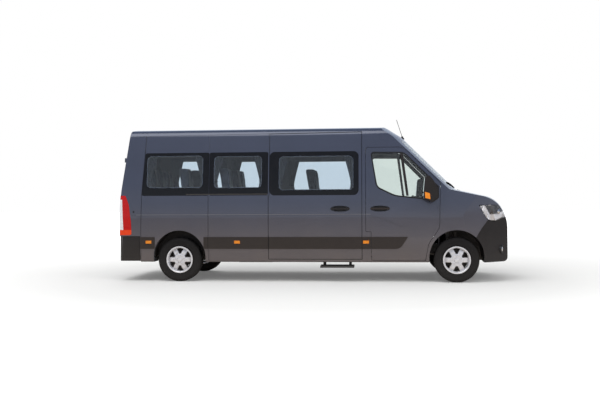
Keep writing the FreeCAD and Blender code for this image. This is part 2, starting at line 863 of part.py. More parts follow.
door_rear = rear_door_shape()
plate_recess = front_prism([(140, 820, 10), (680, 820, 10), (680, 950, 10), (140, 950, 10)],
                           tail - 50, rear_face + 14)
add_piece("rear_door_left", door_rear.cut(plate_recess))
add_piece("rear_door_right", mirrored(door_rear))
rear_glass = keep_large(pane_shell.common(
    front_prism(inset(rear_window, size.seam), tail - 50, rear_face + 300)))
add_piece("rear_glass_left", rear_glass)
add_piece("rear_glass_right", mirrored(rear_glass))
for label, mirror_first in (("side_left", False), ("side_right", True)):
    piece = doc.getObject(label)
    hinges = [tuple(mirrored(s) if mirror_first else s for s in h) for h in rear_hinges]
    piece.Shape = with_fixed_hinges(piece.Shape, hinges)

# Lamps and markers

tail_lamp = envelope(-3).cut(envelope(40)).common(
    side_prism(lamp_outline, -outside, -rear_door_half - 17))
add_piece("tail_lamps", both(keep_large(tail_lamp)))
marker_solids = []
marker_face = envelope(-trim_proud - 8)
marker_back = envelope(-trim_proud - size.seam)
for x in (rear_face + 474, front_axle - 3398, front_axle - 1385):
    outline = [(x - 45, mould_low + 85, 0), (x + 45, mould_low + 85, 0),
               (x + 45, mould_low + 130, 0), (x - 45, mould_low + 130, 0)]
    marker = side_prism(outline, -outside, -700)
    marker_solids.append(marker.common(marker_face).cut(marker_back))
add_piece("side_markers", both(Part.makeCompound(marker_solids)))
strips = []
arch_gap = size.arch_radius + 6
for x_low, x_high in ((rear_face + 338, rear_arch_x - arch_gap + 30),
                      (rear_arch_x + arch_gap - 30, slide_rear - 2),
                      (slide_rear + 2, slide_front - 2), (slide_front + 2, front_axle - 1310)):
    strip = moulding(x_low, x_high, 0.5).cut(
        arch_cut(rear_arch_x, arch_gap, -outside, 0))
    strips.append(keep_large(strip))
add_piece("side_mouldings", both(Part.makeCompound(strips)))

# Bumpers and grille

bumper = skin_shell.common(side_prism(bumper_seam, -outside, outside))
bumper = bumper.cut(arch_cut(front_axle, size.arch_radius, -outside, outside))
bumper = bumper.cut(side_prism(inset(headlamp_outline, -size.seam), -outside, outside))
lower_grille = [(-520, 455, 40), (520, 455, 40), (600, 660, 40), (-600, 660, 40)]
upper_grille = [(-556, 966, 12), (556, 966, 12), (556, 1188, 12), (-556, 1188, 12)]
bumper = bumper.cut(front_prism(lower_grille, nose - 400, far))
bumper = bumper.cut(front_prism(upper_grille, nose - 400, far))
bumper = bumper.cut(block(-far, front_axle + 200, -far, far, 0, far))
bumper = bumper.cut(block(0, nose - 230, -700, 700, 0, size.sill_height + size.skin + 1))
plate_seat = front_prism([(-262, 690, 8), (262, 690, 8), (262, 805, 8), (-262, 805, 8)],
                         nose - 9, far)
towing_eye_y = -430
towing_eye_z = 730
eye_socket = rod(14, (nose - 120, towing_eye_y, towing_eye_z), (nose + 50, towing_eye_y,
                                                               towing_eye_z))
add_piece("front_bumper", keep_large(bumper.cut(plate_seat).cut(eye_socket)))


def slatted(outline, slat_count):
    """A panel with level slots, leaving a frame and slats."""
    panel = envelope(2).cut(envelope(30)).common(
        front_prism(inset(outline, size.seam), nose - 500, far))
    ys = [p[0] for p in outline]
    zs = [p[1] for p in outline]
    pitch = (max(zs) - min(zs) - 24) / slat_count
    for i in range(slat_count):
        low = min(zs) + 12 + pitch * i + 8
        for y_low, y_high in ((min(ys) * 0.82 + 18, -10), (10, max(ys) * 0.82 - 18)):
            slot = block(nose - 500, far, y_low, y_high, low, low + pitch - 18)
            panel = panel.cut(slot)
    return keep_large(panel)


add_piece("grille", Part.makeCompound([slatted(upper_grille, 5), slatted(lower_grille, 5)]))

bumper_wrap = size.skin
bumper_low = 325
bumper_high = 716
bumper_step = rear_door_low - 14
bumper_corner = half_width + 4


def rear_bumper_shape():
    """The rear bumper wrapped round the tail, stepped down below the doors."""
    half = [(rear_face + 326, bumper_corner, 0), (rear_face + 20, bumper_corner, 160),
            (tail, half_width - 260, 400)]
    whole = half + [(x, -y, radius) for x, y, radius in reversed(half)]
    solid = plan_prism(whole, bumper_low, bumper_high)
    hollow_half = [(rear_face + 400, bumper_corner - bumper_wrap, 0),
                   (rear_face + 30 + bumper_wrap, bumper_corner - bumper_wrap, 140),
                   (tail + bumper_wrap, half_width - 280, 380)]
    hollow = hollow_half + [(x, -y, radius) for x, y, radius in reversed(hollow_half)]
    solid = solid.common(front_prism(inset(section, -4), tail - 20, rear_face + 400))
    inner = plan_prism(hollow, 300, 720).common(
        front_prism(inset(section, bumper_wrap), tail - 20, rear_face + 500))
    solid = solid.cut(inner)
    solid = solid.cut(block(tail - 50, rear_face + 230, -rear_door_half - 14,
                            rear_door_half + 14, bumper_step, 800))
    solid = solid.cut(block(rear_face + 120, 0, -half_width + 100, half_width - 100,
                            0, size.sill_height + bumper_wrap + 1))
    step_lid = plan_prism(hollow, bumper_step - bumper_wrap, bumper_step).common(
        block(tail, rear_face + 60, -rear_door_half - 14, rear_door_half + 14, 0, 800))
    corner_lid = plan_prism(hollow, bumper_high - 12, bumper_high).common(
        block(tail, rear_face + 130, rear_door_half + 14, outside, 0, 800))
    corner_lid = corner_lid.cut(under_skin)
    return joined([solid, step_lid, corner_lid, mirrored(corner_lid)])


rear_bumper = rear_bumper_shape()
body_room = doc.getObject("side_right").Shape
rear_bumper = rear_bumper.cut(body_room).cut(doc.getObject("side_left").Shape)
add_piece("rear_bumper", keep_large(rear_bumper))

# Floor with its two long rails

floor = under_wall.common(block(tail, bulkhead_x - size.seam, -half_width, half_width,
                                size.floor_height - size.floor_plate, size.floor_height))
floor = floor.cut(block(tail, rear_face + size.wall + 4, -half_width, half_width, 0, far))
liner_gap = size.arch_radius + size.liner + size.seam
rear_liner_in = size.track_rear / 2 - size.tyre_width / 2 - 14
front_liner_in = size.track_front / 2 - size.kingpin_inset - 262
for side in (-1, 1):
    low, high = sorted((side * (rear_liner_in - size.liner - size.seam), side * outside))
    floor = floor.cut(arch_cut(rear_arch_x, liner_gap, low, high))
    low, high = sorted((side * (front_liner_in - size.liner - size.seam), side * outside))
    floor = floor.cut(arch_cut(front_axle, liner_gap, low, high))
rail_y = 480
rail_low = size.floor_height - size.floor_plate - 110
rails = [block(rear_face + 90, front_axle + 250, y - 32, y + 32, rail_low,
               size.floor_height - size.floor_plate) for y in (-rail_y, rail_y)]
add_piece("floor", joined([keep_large(floor)] + rails))

# Arch liners


def liner_shape(axle, y_in, y_out, walled):
    """The left liner: a bent sheet over the wheel, walled inside at the rear."""
    low = axle_height + 60 if walled else size.sill_height + 60
    outer_form = arch_cut(axle, size.arch_radius + size.liner, y_in - size.liner, y_out)
    hollow = arch_cut(axle, size.arch_radius, y_in if walled else y_in - 20, y_out + 1)
    shell = outer_form.cut(hollow)
    shell = shell.cut(block(-far, far, 0, far, -20, low))
    return shell.common(under_wall if walled else under_skin)


rear_liner = liner_shape(rear_arch_x, rear_liner_in, half_width + 30, True)
front_liner = liner_shape(front_axle, front_liner_in, half_width + 30, False)
add_piece("arch_liners", Part.makeCompound(
    both(keep_large(rear_liner)).Solids + both(keep_large(front_liner)).Solids))

# Wheels
# A tyre and a wheel are drawn about their own axle and then placed.


def datum(body, role):
    """A plane or axis of a body's origin, as a link."""
    return [item for item in body.Origin.OriginFeatures if item.Role == role][0], [""]


def revolved_body(label, points):
    """A body turned about its upright axis from an outline (radius, height)."""
    body = doc.addObject("PartDesign::Body", label)
    body.Label = label
    sketch = body.newObject("Sketcher::SketchObject", label + "_outline")
    sketch.AttachmentSupport = datum(body, "XZ_Plane")
    sketch.MapMode = "FlatFace"
    count = len(points)
    for i in range(count):
        start, end = points[i], points[(i + 1) % count]
        sketch.addGeometry(Part.LineSegment(Vector(start[0], start[1], 0),
                                            Vector(end[0], end[1], 0)), False)
    turn = body.newObject("PartDesign::Revolution", label + "_turn")
    turn.Profile = sketch
    turn.ReferenceAxis = datum(body, "Z_Axis")
    turn.Angle = 360
    return body


half_tyre = size.tyre_width / 2
seat_radius = size.rim_radius - 10
tyre_outline = [
    (seat_radius, -half_tyre + 30), (size.rim_radius + 40, -half_tyre),
    (size.tyre_radius - 40, -half_tyre), (size.tyre_radius, -half_tyre + 36),
    (size.tyre_radius, half_tyre - 36), (size.tyre_radius - 40, half_tyre),
    (size.rim_radius + 40, half_tyre), (seat_radius, half_tyre - 30),
]
rim_in = seat_radius - size.seam
rim_outline = [
    (rim_in, -half_tyre + 32), (rim_in, half_tyre - 28), (rim_in + 4, half_tyre - 16),
    (rim_in - 10, half_tyre - 16), (rim_in - 16, half_tyre - 34),
    (rim_in - 16, half_tyre - 62), (size.hub_radius, half_tyre - 34),
    (0, half_tyre - 34), (0, half_tyre - 66), (size.hub_radius, half_tyre - 66),
    (rim_in - 16, half_tyre - 82), (rim_in - 16, -half_tyre + 32),
]


def wheel_body(label):
    """A wheel with broad spokes, cut by one pocket repeated round the hub."""
    body = revolved_body(label, rim_outline)
    sketch = body.newObject("Sketcher::SketchObject", label + "_gap")
    sketch.AttachmentSupport = datum(body, "XY_Plane")
    sketch.MapMode = "FlatFace"
    inner, out = size.hub_radius + 18, rim_in - 26
    half = math.radians(180 / size.spoke_count)
    corners = [(inner, half), (out, half - 0.27), (out + 4, half), (out, half + 0.27)]
    places = [Vector(r * math.cos(a), r * math.sin(a), 0) for r, a in corners]
    for i in range(len(places)):
        sketch.addGeometry(Part.LineSegment(places[i], places[(i + 1) % len(places)]), False)
    pocket = body.newObject("PartDesign::Pocket", label + "_cut")
    pocket.Profile = sketch
    pocket.Type = 1
    pocket.Midplane = True
    doc.recompute()
    pattern = body.newObject("PartDesign::PolarPattern", label + "_gaps")
    pattern.Originals = [pocket]
    pattern.Axis = datum(body, "Z_Axis")
    pattern.Angle = 360
    bind(pattern, [("Occurrences", "sizes.spoke_count")])
    body.Tip = pattern
    return body


# Each row is: name, axle, distance of the wheel's middle from the centre line.
WHEEL_PLACES = [
    ("front_right", front_axle, -size.track_front / 2),
    ("front_left", front_axle, size.track_front / 2),
    ("rear_right", rear_axle, -size.track_rear / 2),
    ("rear_left", rear_axle, size.track_rear / 2),
]
for name, x, y in WHEEL_PLACES:
    facing = Rotation(Vector(1, 0, 0), 90 if y < 0 else -90)
    for piece in (revolved_body("tyre_" + name, tyre_outline), wheel_body("wheel_" + name)):
        piece.Placement = Placement(Vector(x, y, axle_height), facing)
        bind(piece, [(".Placement.Base.z", "sizes.tyre_radius")])

# Knuckles, hubs and axles

hub_in = size.track_front / 2 + half_tyre - 66 - size.seam
kingpin_y = size.track_front / 2 - size.kingpin_inset


strut_top = axle_height + 420
upright_low = axle_height - 130
arm_low = axle_height - 165
arm_high = upright_low - 5
ball_radius = 14


def knuckle_shape():
    """The left knuckle: hub, disc, upright and strut round a steering axis."""
    hub = rod(58, (front_axle, hub_in - 60, axle_height), (front_axle, hub_in, axle_height))
    disc = rod(size.disc_radius, (front_axle, hub_in - 84, axle_height),
               (front_axle, hub_in - 60, axle_height))
    upright = block(front_axle - 45, front_axle + 45, kingpin_y - 30, hub_in - 84,
                    upright_low, axle_height + 120)
    stub = rod(ball_radius, (front_axle, kingpin_y, arm_low),
               (front_axle, kingpin_y, upright_low + 10))
    strut_y = kingpin_y - 105
    strut = rod(27, (front_axle, strut_y, axle_height + 60), (front_axle, strut_y, strut_top))
    foot = block(front_axle - 40, front_axle + 40, strut_y - 20, kingpin_y - 20,
                 axle_height + 20, axle_height + 110)
    caliper = block(front_axle - 165, front_axle - 95, hub_in - 104, hub_in - 48,
                    axle_height - 45, axle_height + 45)
    bridge = block(front_axle - 110, front_axle - 40, hub_in - 104, hub_in - 84,
                   axle_height - 40, axle_height + 40)
    return joined([hub, disc, upright, stub, strut, foot, caliper, bridge])


knuckle = knuckle_shape()
add_piece("knuckle_left", knuckle)
add_piece("knuckle_right", mirrored(knuckle))

rear_hub_in = size.track_rear / 2 + half_tyre - 66 - size.seam
beam = [rod(45, (rear_axle, -rear_hub_in + 90, axle_height), (rear_axle, rear_hub_in - 90,
                                                             axle_height))]
spring_y = 560
for side in (-1, 1):
    beam.append(rod(58, (rear_axle, side * (rear_hub_in - 84), axle_height),
                    (rear_axle, side * rear_hub_in, axle_height)))
    beam.append(rod(size.disc_radius, (rear_axle, side * (rear_hub_in - 90), axle_height),
                    (rear_axle, side * (rear_hub_in - 66), axle_height)))
    low = side * spring_y - 32
    leaf = [(rear_axle - 640, rail_low - 24, 0), (rear_axle, axle_height - 76, 1800),
            (rear_axle + 640, rail_low - 24, 0), (rear_axle + 640, rail_low - 4, 0),
            (rear_axle, axle_height - 50, 1800), (rear_axle - 640, rail_low - 4, 0)]
    beam.append(side_prism(leaf, low, low + 64))
    beam.append(block(rear_axle - 60, rear_axle + 60, low - 4, low + 68, axle_height - 70,
                      axle_height))
    for end in (-1, 1):
        beam.append(block(rear_axle + end * 620 - 20, rear_axle + end * 620 + 20, low,
                          low + 64, rail_low - 24, size.floor_height - size.floor_plate
                          - size.seam))
add_piece("rear_axle", joined(beam))

member = [block(front_axle - 170, front_axle + 210, -470, 470, 235, 300)]
for side in (-1, 1):
    arm = [(front_axle - 140, side * 440, 0), (front_axle + 60, side * 440, 0),
           (front_axle + 27, side * (kingpin_y + 27), 26.9),
           (front_axle - 27, side * (kingpin_y + 27), 26.9)]
    eye = rod(ball_radius + size.seam, (front_axle, side * kingpin_y, arm_low - 5),
              (front_axle, side * kingpin_y, arm_high + 5))
    member.append(plan_prism(arm, arm_low, arm_high).cut(eye))
    member.append(block(front_axle - 170, front_axle + 60, *sorted((side * 420, side * 470)),
                        180, 260))
    member.append(block(front_axle - 150, front_axle - 90, *sorted((side * 440, side * 500)),
                        235, rail_low - size.seam))
    member.append(block(front_axle + 120, front_axle + 180, *sorted((side * 440, side * 500)),
                        235, rail_low - size.seam))
add_piece("subframe", joined(member))

# Engine, tank, exhaust and spare wheel

engine = doc.addObject("Part::Box", "engine")
engine.Label = "engine"
engine.Placement = Placement(Vector(front_axle - 60, 0, 0), Rotation())
bind(engine, [
    ("Length", "sizes.engine_length"), ("Width", "sizes.engine_width"),
    ("Height", "sizes.engine_height"), (".Placement.Base.y", "-sizes.engine_width / 2"),
    (".Placement.Base.z", "sizes.engine_low")])

tank = doc.addObject("Part::Box", "tank_block")
tank.Placement = Placement(Vector(front_axle - 1900, 60, 0), Rotation())
bind(tank, [
    ("Length", "sizes.tank_length"), ("Width", "sizes.tank_width"),
    ("Height", "sizes.floor_height - sizes.floor_plate - sizes.seam - sizes.tank_low"),
    (".Placement.Base.z", "sizes.tank_low")])
tank_round = doc.addObject("Part::Fillet", "fuel_tank")
tank_round.Label = "fuel_tank"
tank_round.Base = tank
tank_round.Edges = [(edge, 40, 40) for edge in (9, 10, 11, 12, 2, 4, 6, 8)]

pipe_points = [(front_axle - 190, -150), (front_axle - 900, -150), (front_axle - 1200, -330),
               (rear_axle + 750, -330)]
pipe_z = rail_low - 28
exhaust = [rod(27, (ax, ay, pipe_z), (bx, by, pipe_z))
           for (ax, ay), (bx, by) in zip(pipe_points, pipe_points[1:])]
exhaust += [Part.makeSphere(27, Vector(x, y, pipe_z)) for x, y in pipe_points[1:-1]]
exhaust.append(rod(95, (rear_axle + 1400, -330, pipe_z - 40), (rear_axle + 850, -330,
                                                               pipe_z - 40)))
exhaust.append(block(front_axle - 1000, front_axle - 960, -180, -120, pipe_z,
                     size.floor_height - size.floor_plate - size.seam))
add_piece("exhaust", joined(exhaust))
spare_x = rear_axle - 398
spare = Part.makeCylinder(size.tyre_radius - 5, 200, Vector(spare_x, 0, 300))
spare = spare.cut(Part.makeCylinder(150, 60, Vector(spare_x, 0, 300)))
carrier = block(spare_x - 20, spare_x + 20, -20, 20, 495,
                size.floor_height - size.floor_plate - size.seam)
add_piece("spare_wheel", joined([spare, carrier]))

# Dashboard and steering wheel

dash_front = bulkhead_x - size.seam
dash_outline = [
    (dash_front, 800, 0), (dash_front, 1290, 0), (dash_front - 160, 1275, 60),
    (dash_front - 330, 1190, 70), (dash_front - 300, 960, 60), (dash_front - 180, 800, 30),
]
dash_half = half_width - size.wall - 75
add_piece("dashboard", side_prism(dash_outline, -dash_half, dash_half))
driver_y = 470
ring_tilt = 55
ring_place = Placement(Vector(dash_front - 470, driver_y, 1170),
                       Rotation(Vector(0, 1, 0), -ring_tilt))
rim_tube = 16
tube_corners = [(size.wheel_ring + rim_tube * math.cos(math.radians(a)),
                 rim_tube * math.sin(math.radians(a))) for a in range(0, 360, 45)]
ring = Part.Face(Part.makePolygon([Vector(r, 0, z) for r, z in tube_corners + tube_corners[:1]]))
ring = ring.revolve(Vector(0, 0, 0), Vector(0, 0, 1), 360)
spokes = [block(-size.wheel_ring, size.wheel_ring, -22, 22, -10, 10),
          Part.makeCylinder(70, 45, Vector(0, 0, -25))]
column = Part.makeCylinder(35, 230, Vector(0, 0, -240))
steering = joined([ring] + spokes + [column])
steering.Placement = ring_place
dashboard = doc.getObject("dashboard")
steering = steering.cut(dashboard.Shape.copy())
steering_solids = sorted(steering.Solids, key=lambda solid: solid.Volume)
add_piece("steering_wheel", steering_solids[-1])

# Seats

seat_top = size.floor_height + size.seat_height


def seat_outline(head_x, base_top):
    """A seat's outline from the side; head_x is the middle of its headrest."""
    back = head_x + 60
    low = base_top - size.cushion
    top = base_top + size.back_height
    return [
        (back + size.seat_depth, low, 0), (back + size.seat_depth, base_top, 50),
        (back + size.back_thickness + 10, base_top - 10, 40),
        (head_x + size.back_thickness / 2, top, 0),
        (head_x + 45, top + 30, 0), (head_x + 45, top + size.headrest_height, 35),
        (head_x - 55, top + size.headrest_height, 35), (head_x - 55, top + 30, 0),
        (head_x - size.back_thickness / 2, top, 0), (back - 20, low, 0),
    ]


def seat(head_x, middle_y, base_top):
    """A cushion, and behind it a high back whose headrest is narrower."""
    half = size.seat_width / 2
    form = side_prism(seat_outline(head_x, base_top), middle_y - half, middle_y + half)
    top = base_top + size.back_height
    for y in (middle_y - half, middle_y + 130):
        form = form.cut(block(head_x - 200, head_x + 200, y, y + half - 130, top + 15, top + 400))
    crease_x = head_x + 70 + size.back_thickness
    return form.cut(block(crease_x, crease_x + size.seam, middle_y - half, middle_y + half,
                          0, top))


leg_half = 80


def seat_leg(head_x, middle_y, base_top):
    """The frame under a seat, standing on the floor."""
    x_low, x_high = head_x + 60, head_x + size.seat_depth
    low = base_top - size.cushion - size.seam
    rail = block(x_low, x_high, middle_y - 180, middle_y + 180, low - 30, low)
    legs = [block(x, x + 40, middle_y - leg_half, middle_y + leg_half, size.floor_height,
                  low - 30) for x in (x_low + 20, x_high - 80)]
    return joined([rail] + legs)


first_row = front_axle - 2325
# Each row is: row number, places of its seats across the vehicle.
ROWS = [(0, (205, 640)), (1, (-640, 205, 640)), (2, (-640, 205, 640)),
        (3, (-640, 205, 640)), (4, (-648, -216, 216, 648))]
cushions = []
frames = []
for number, places in ROWS:
    for y in places:
        x = first_row - number * size.row_pitch
        cushions += seat(x, y, seat_top).Solids
        frames.append(seat_leg(x, y, seat_top))
add_piece("passenger_seats", Part.makeCompound(cushions))
front_seat_x = front_axle - 1400
front_places = (driver_y, -640, -200)
add_piece("front_seats", Part.makeCompound(
    [solid for y in front_places for solid in seat(front_seat_x, y, seat_top).Solids]))
add_piece("seat_frames", Part.makeCompound(
    frames + [seat_leg(front_seat_x, y, seat_top) for y in front_places]))

# Curtains, gathered at the ends of each passenger window

curtain_shell = envelope(size.wall + size.seam).cut(
    envelope(size.wall + size.seam + size.curtain))
curtain_solids = []
for rear, front, low, high, lean in PANES + [SLIDE_PANE]:
    middle = (low + high) / 2
    for edge, sense in ((rear, 1), (front, -1)):
        outline = [(edge - sense * 50, low - 60, 0), (edge + sense * 110, low - 60, 0),
                   (edge + sense * 55, middle, 60), (edge + sense * 160, high + 30, 0),
                   (edge - sense * 50, high + 30, 0)]
        curtain_solids.append(keep_large(
            curtain_shell.common(side_prism(outline, -outside, 0))))
add_piece("curtains", both(Part.makeCompound(curtain_solids)))

# Mirrors


def mirror_shape():
    """The right mirror: a tall housing on a short arm from the door."""
    x = front_axle - 400
    housing = side_prism([(x - 120, 1300, 40), (x + 10, 1235, 40), (x + 110, 1290, 50),
                          (x + 95, 1560, 60), (x + 40, 1640, 60), (x - 90, 1640, 40)],
                         -half_width - 215, -half_width - 35)
    arm = side_prism([(x + 30, 1275, 10), (x + 110, 1275, 10), (x + 110, 1400, 10),
                      (x + 30, 1400, 10)], -half_width - 60, -half_width + 40)
    arm = arm.common(block(x, x + 200, -far, -half_width + 40, 0, far)).cut(outer)
    return joined([housing, arm])


mirror = mirror_shape()
add_piece("mirror_right", mirror)
add_piece("mirror_left", mirrored(mirror))

# Small fittings

step_x = front_axle - 2100
step = joined([
    block(step_x, step_x + 526, -half_width + 60, -half_width + 330, 222, 252),
    block(step_x + 40, step_x + 80, -half_width + 200, -half_width + 320, 252, 310 - size.seam),
    block(step_x + 446, step_x + 486, -half_width + 200, -half_width + 320, 252,
          310 - size.seam)])
add_piece("step", step)
antenna_base = (front_axle - 778, 0, shoulder - 120)
antenna = joined([
    Part.makeCone(26, 12, 60, Vector(*antenna_base), Vector(-0.35, 0, 1)),
    rod(4, antenna_base, (front_axle - 884, 0, 2600))])
add_piece("antenna", keep_large(antenna.cut(outer), 10))

# Wipers lie on the glass just above the scuttle

wiper_solids = []
for y_pivot, y_tip in ((520, -80), (-120, -640)):
    band = front_prism([(y_pivot, screen_low - 5, 0), (y_tip, screen_low + 70, 0),
                        (y_tip, screen_low + 88, 0), (y_pivot, screen_low + 20, 0)],
                       front_axle - 900, far)
    wiper_solids.append(keep_large(band.common(envelope(-16)).cut(envelope(-size.seam))))
add_piece("wipers", Part.makeCompound(wiper_solids))

doc.recompute()

NODES = [
    "floor", "side_right", "side_left", "roof", "roof_cap", "front_structure", "windscreen",
    "front_wings", "bonnet", "headlamps", "front_bumper", "grille", "rear_bumper",
    "front_door_right", "front_door_left", "front_glass_right", "front_glass_left",
    "door_trim_right", "door_trim_left", "sliding_door", "sliding_handle",
    "rear_door_right", "rear_door_left", "rear_glass_right", "rear_glass_left",
    "window_bands", "side_windows", "tail_lamps", "side_markers", "side_mouldings",
    "arch_liners", "tyre_front_right", "tyre_front_left",
    "tyre_rear_right", "tyre_rear_left", "wheel_front_right", "wheel_front_left",
    "wheel_rear_right", "wheel_rear_left", "knuckle_right", "knuckle_left", "rear_axle",
    "subframe", "engine", "fuel_tank", "exhaust", "spare_wheel", "dashboard",
    "steering_wheel", "front_seats", "passenger_seats", "seat_frames", "curtains",
    "mirror_right", "mirror_left", "step", "antenna", "wipers",
]
for item in doc.Objects:
    if "Invalid" in item.State or "Error" in item.State:
        raise RuntimeError("object failed: " + item.Label)
os.makedirs("parts", exist_ok=True)
for label in NODES:
    shape = doc.getObjectsByLabel(label)[0].Shape
    if shape.isNull() or not shape.isValid() or not shape.Solids:
        raise RuntimeError("bad shape: " + label)
    shape.exportStep(os.path.join("parts", label + ".step"))
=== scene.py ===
"""A long, high-roofed minibus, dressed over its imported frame.

Every sub-assembly of the vehicle is a class below. It holds its sizes as fields and builds its
own pieces with the shared modelling steps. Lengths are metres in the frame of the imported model:
X forward, Y to the vehicle's left, Z up, with the origin on the ground under the middle.
"""
import logging
import math
from collections.abc import Callable, Iterator, Sequence
from contextlib import contextmanager
from dataclasses import dataclass, field
from enum import Enum

import bpy
from mathutils import Matrix, Vector
from mathutils.bvhtree import BVHTree


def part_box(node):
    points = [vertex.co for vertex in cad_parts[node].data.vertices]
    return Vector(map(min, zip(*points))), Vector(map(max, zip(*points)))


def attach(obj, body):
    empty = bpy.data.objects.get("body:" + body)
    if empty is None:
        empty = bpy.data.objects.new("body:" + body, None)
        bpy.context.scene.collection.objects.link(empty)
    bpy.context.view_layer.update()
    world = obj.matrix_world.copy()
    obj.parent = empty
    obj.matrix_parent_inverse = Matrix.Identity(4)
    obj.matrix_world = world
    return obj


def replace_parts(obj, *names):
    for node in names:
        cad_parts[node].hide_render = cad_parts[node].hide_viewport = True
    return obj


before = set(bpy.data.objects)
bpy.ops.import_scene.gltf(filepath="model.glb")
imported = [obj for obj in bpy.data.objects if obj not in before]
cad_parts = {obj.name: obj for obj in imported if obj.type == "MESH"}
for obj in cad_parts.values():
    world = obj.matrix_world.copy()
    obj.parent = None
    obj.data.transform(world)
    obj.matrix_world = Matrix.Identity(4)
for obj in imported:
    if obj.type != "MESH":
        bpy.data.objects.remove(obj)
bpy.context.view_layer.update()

LOG = logging.getLogger("minibus")
Point = tuple[float, float, float]
Colour = tuple[float, float, float]
Pair = tuple[float, float]
Stroke = tuple[float, float, float, float, float]
FaceTest = Callable[[Vector, Vector], bool]
Piece = bpy.types.Object
Material = bpy.types.Material
Socket = bpy.types.NodeSocket

WHITE = (1.0, 1.0, 1.0)
WHEEL_RADIUS = 0.345
FRONT_AXLE, REAR_AXLE = 2.2435, -2.0885
OUTSIDE = 4.0  # a distance from the middle that lies outside the vehicle
ALIGNED = 0.9  # the cosine from which a face counts as looking in a direction
SHARP = math.radians(32)  # edges with more than this angle are rounded


class Side(Enum):
    """The two sides of the vehicle, with the sign of their Y."""

    RIGHT = -1
    LEFT = 1

    @property
    def word(self) -> str:
        """The side's name as the nodes spell it."""
        return self.name.lower()

    def at(self, spot: Point) -> Point:
        """A place of the left side, taken to this side."""
        return spot[0], self.value * spot[1], spot[2]


class Axis(Enum):
    """Directions that turned pieces lie along."""

    FORWARD = (1.0, 0.0, 0.0)
    ACROSS = (0.0, 1.0, 0.0)
    UP = (0.0, 0.0, 1.0)


def facing(way: Sequence[float]) -> FaceTest:
    """A test for the faces that look in one direction."""
    return lambda middle, normal: normal.dot(Vector(way)) > ALIGNED


def clear() -> None:
    """Leave nothing selected."""
    bpy.ops.object.select_all(action="DESELECT")


def take(piece: Piece) -> None:
    """Make one piece the only selected and the active one."""
    clear()
    piece.select_set(True)
    bpy.context.view_layer.objects.active = piece


def named(name: str) -> Piece:
    """Name the active object and its mesh.

    Args:
        name: The name for both.

    Returns:
        The object.
    """
    piece = bpy.context.object
    piece.name = name
    piece.data.name = name
    return piece


def remove(*pieces: Piece) -> None:
    """Remove the pieces that were only made to be copied or laid on."""
    for piece in pieces:
        bpy.data.objects.remove(piece)


def settle(piece: Piece) -> Piece:
    """Put a piece's place, turn and size into its mesh, and return it."""
    take(piece)
    bpy.ops.object.transform_apply(location=True, rotation=True, scale=True)
    return piece


def block(name: str, low: Sequence[float], high: Sequence[float]) -> Piece:
    """A box between two corners.

    Args:
        name: Name of the piece.
        low: One corner.
        high: The corner opposite.

    Returns:
        The new piece, with its size in its mesh.
    """
    clear()
    bpy.ops.mesh.primitive_cube_add(size=1.0, location=[(a + b) / 2 for a, b in zip(low, high)])
    piece = named(name)
    piece.scale = [abs(b - a) for a, b in zip(low, high)]
    return settle(piece)


def disc(name: str, centre: Sequence[float], radius: float, depth: float,
         axis: Axis = Axis.ACROSS, sides: int = 48) -> Piece:
    """A round block whose axis lies along one direction.

    Args:
        name: Name of the piece.
        centre: Middle of the block.
        radius: Its radius.
        depth: Its length along the axis.
        axis: The direction of the axis.
        sides: Number of flats round it.

    Returns:
        The new piece.
    """
    clear()
    turn = Vector((0, 0, 1)).rotation_difference(Vector(axis.value)).to_euler()
    bpy.ops.mesh.primitive_cylinder_add(vertices=sides, radius=radius, depth=depth,
                                        location=centre, rotation=turn)
    return settle(named(name))


def grid(name: str, centre: Sequence[float], spans: Pair, cells: tuple[int, int],
         axis: Axis = Axis.ACROSS) -> Piece:
    """A flat net of faces that stands square to an axis.

    Args:
        name: Name of the piece.
        centre: Its middle.
        spans: Its length along X (or Y, if it faces forward), and its height or width.
        cells: Number of faces along each span.
        axis: The direction that it faces, across or forward.

    Returns:
        The new piece.
    """
    clear()
    bpy.ops.mesh.primitive_grid_add(x_subdivisions=cells[0], y_subdivisions=cells[1], size=1.0)
    piece = named(name)
    turn = Matrix.Rotation(math.pi / 2, 4, "X")
    if axis is Axis.FORWARD:
        turn = Matrix.Rotation(math.pi / 2, 4, "Z") @ turn
    piece.matrix_world = Matrix.Translation(centre) @ turn @ Matrix.Diagonal((*spans, 1.0, 1.0))
    return settle(piece)


@contextmanager
def editing(piece: Piece, test: FaceTest | None = None) -> Iterator[int]:
    """Keep a piece in edit mode, with some of its faces or all of its mesh selected.

    Args:
        piece: The piece to edit.
        test: Takes a face's middle and normal, and says whether it is selected.

    Yields:
        How many faces passed the test.
    """
    take(piece)
    mesh, count = piece.data, 0
    if test:
        chosen = [bool(test(face.center, face.normal)) for face in mesh.polygons]
        count = sum(chosen)
        for part in (mesh.vertices, mesh.edges):
            part.foreach_set("select", [False] * len(part))
        mesh.polygons.foreach_set("select", chosen)
        for face in mesh.polygons:
            if face.select:
                for index in face.vertices:
                    mesh.vertices[index].select = True
    bpy.ops.object.mode_set(mode="EDIT")
    if test:
        bpy.ops.mesh.select_mode(type="FACE")
    else:
        bpy.ops.mesh.select_all(action="SELECT")
    yield count
    bpy.ops.object.mode_set(mode="OBJECT")


def sink(piece: Piece, test: FaceTest, margin: float, depth: float, each: bool = False) -> None:
    """Inset chosen faces and move the inner ones along their normals.

    Args:
        piece: The piece to edit.
        test: Chooses the faces.
        margin: Width of the border that stays.
        depth: How far the inner faces move out; negative moves them in.
        each: Whether every face gets its own border.
    """
    with editing(piece, test) as count:
        if count:
            bpy.ops.mesh.inset(thickness=margin, depth=depth, use_individual=each)


def drop(piece: Piece, test: FaceTest) -> None:
    """Delete the faces that pass a test."""
    with editing(piece, test) as count:
        if count:
            bpy.ops.mesh.delete(type="FACE")


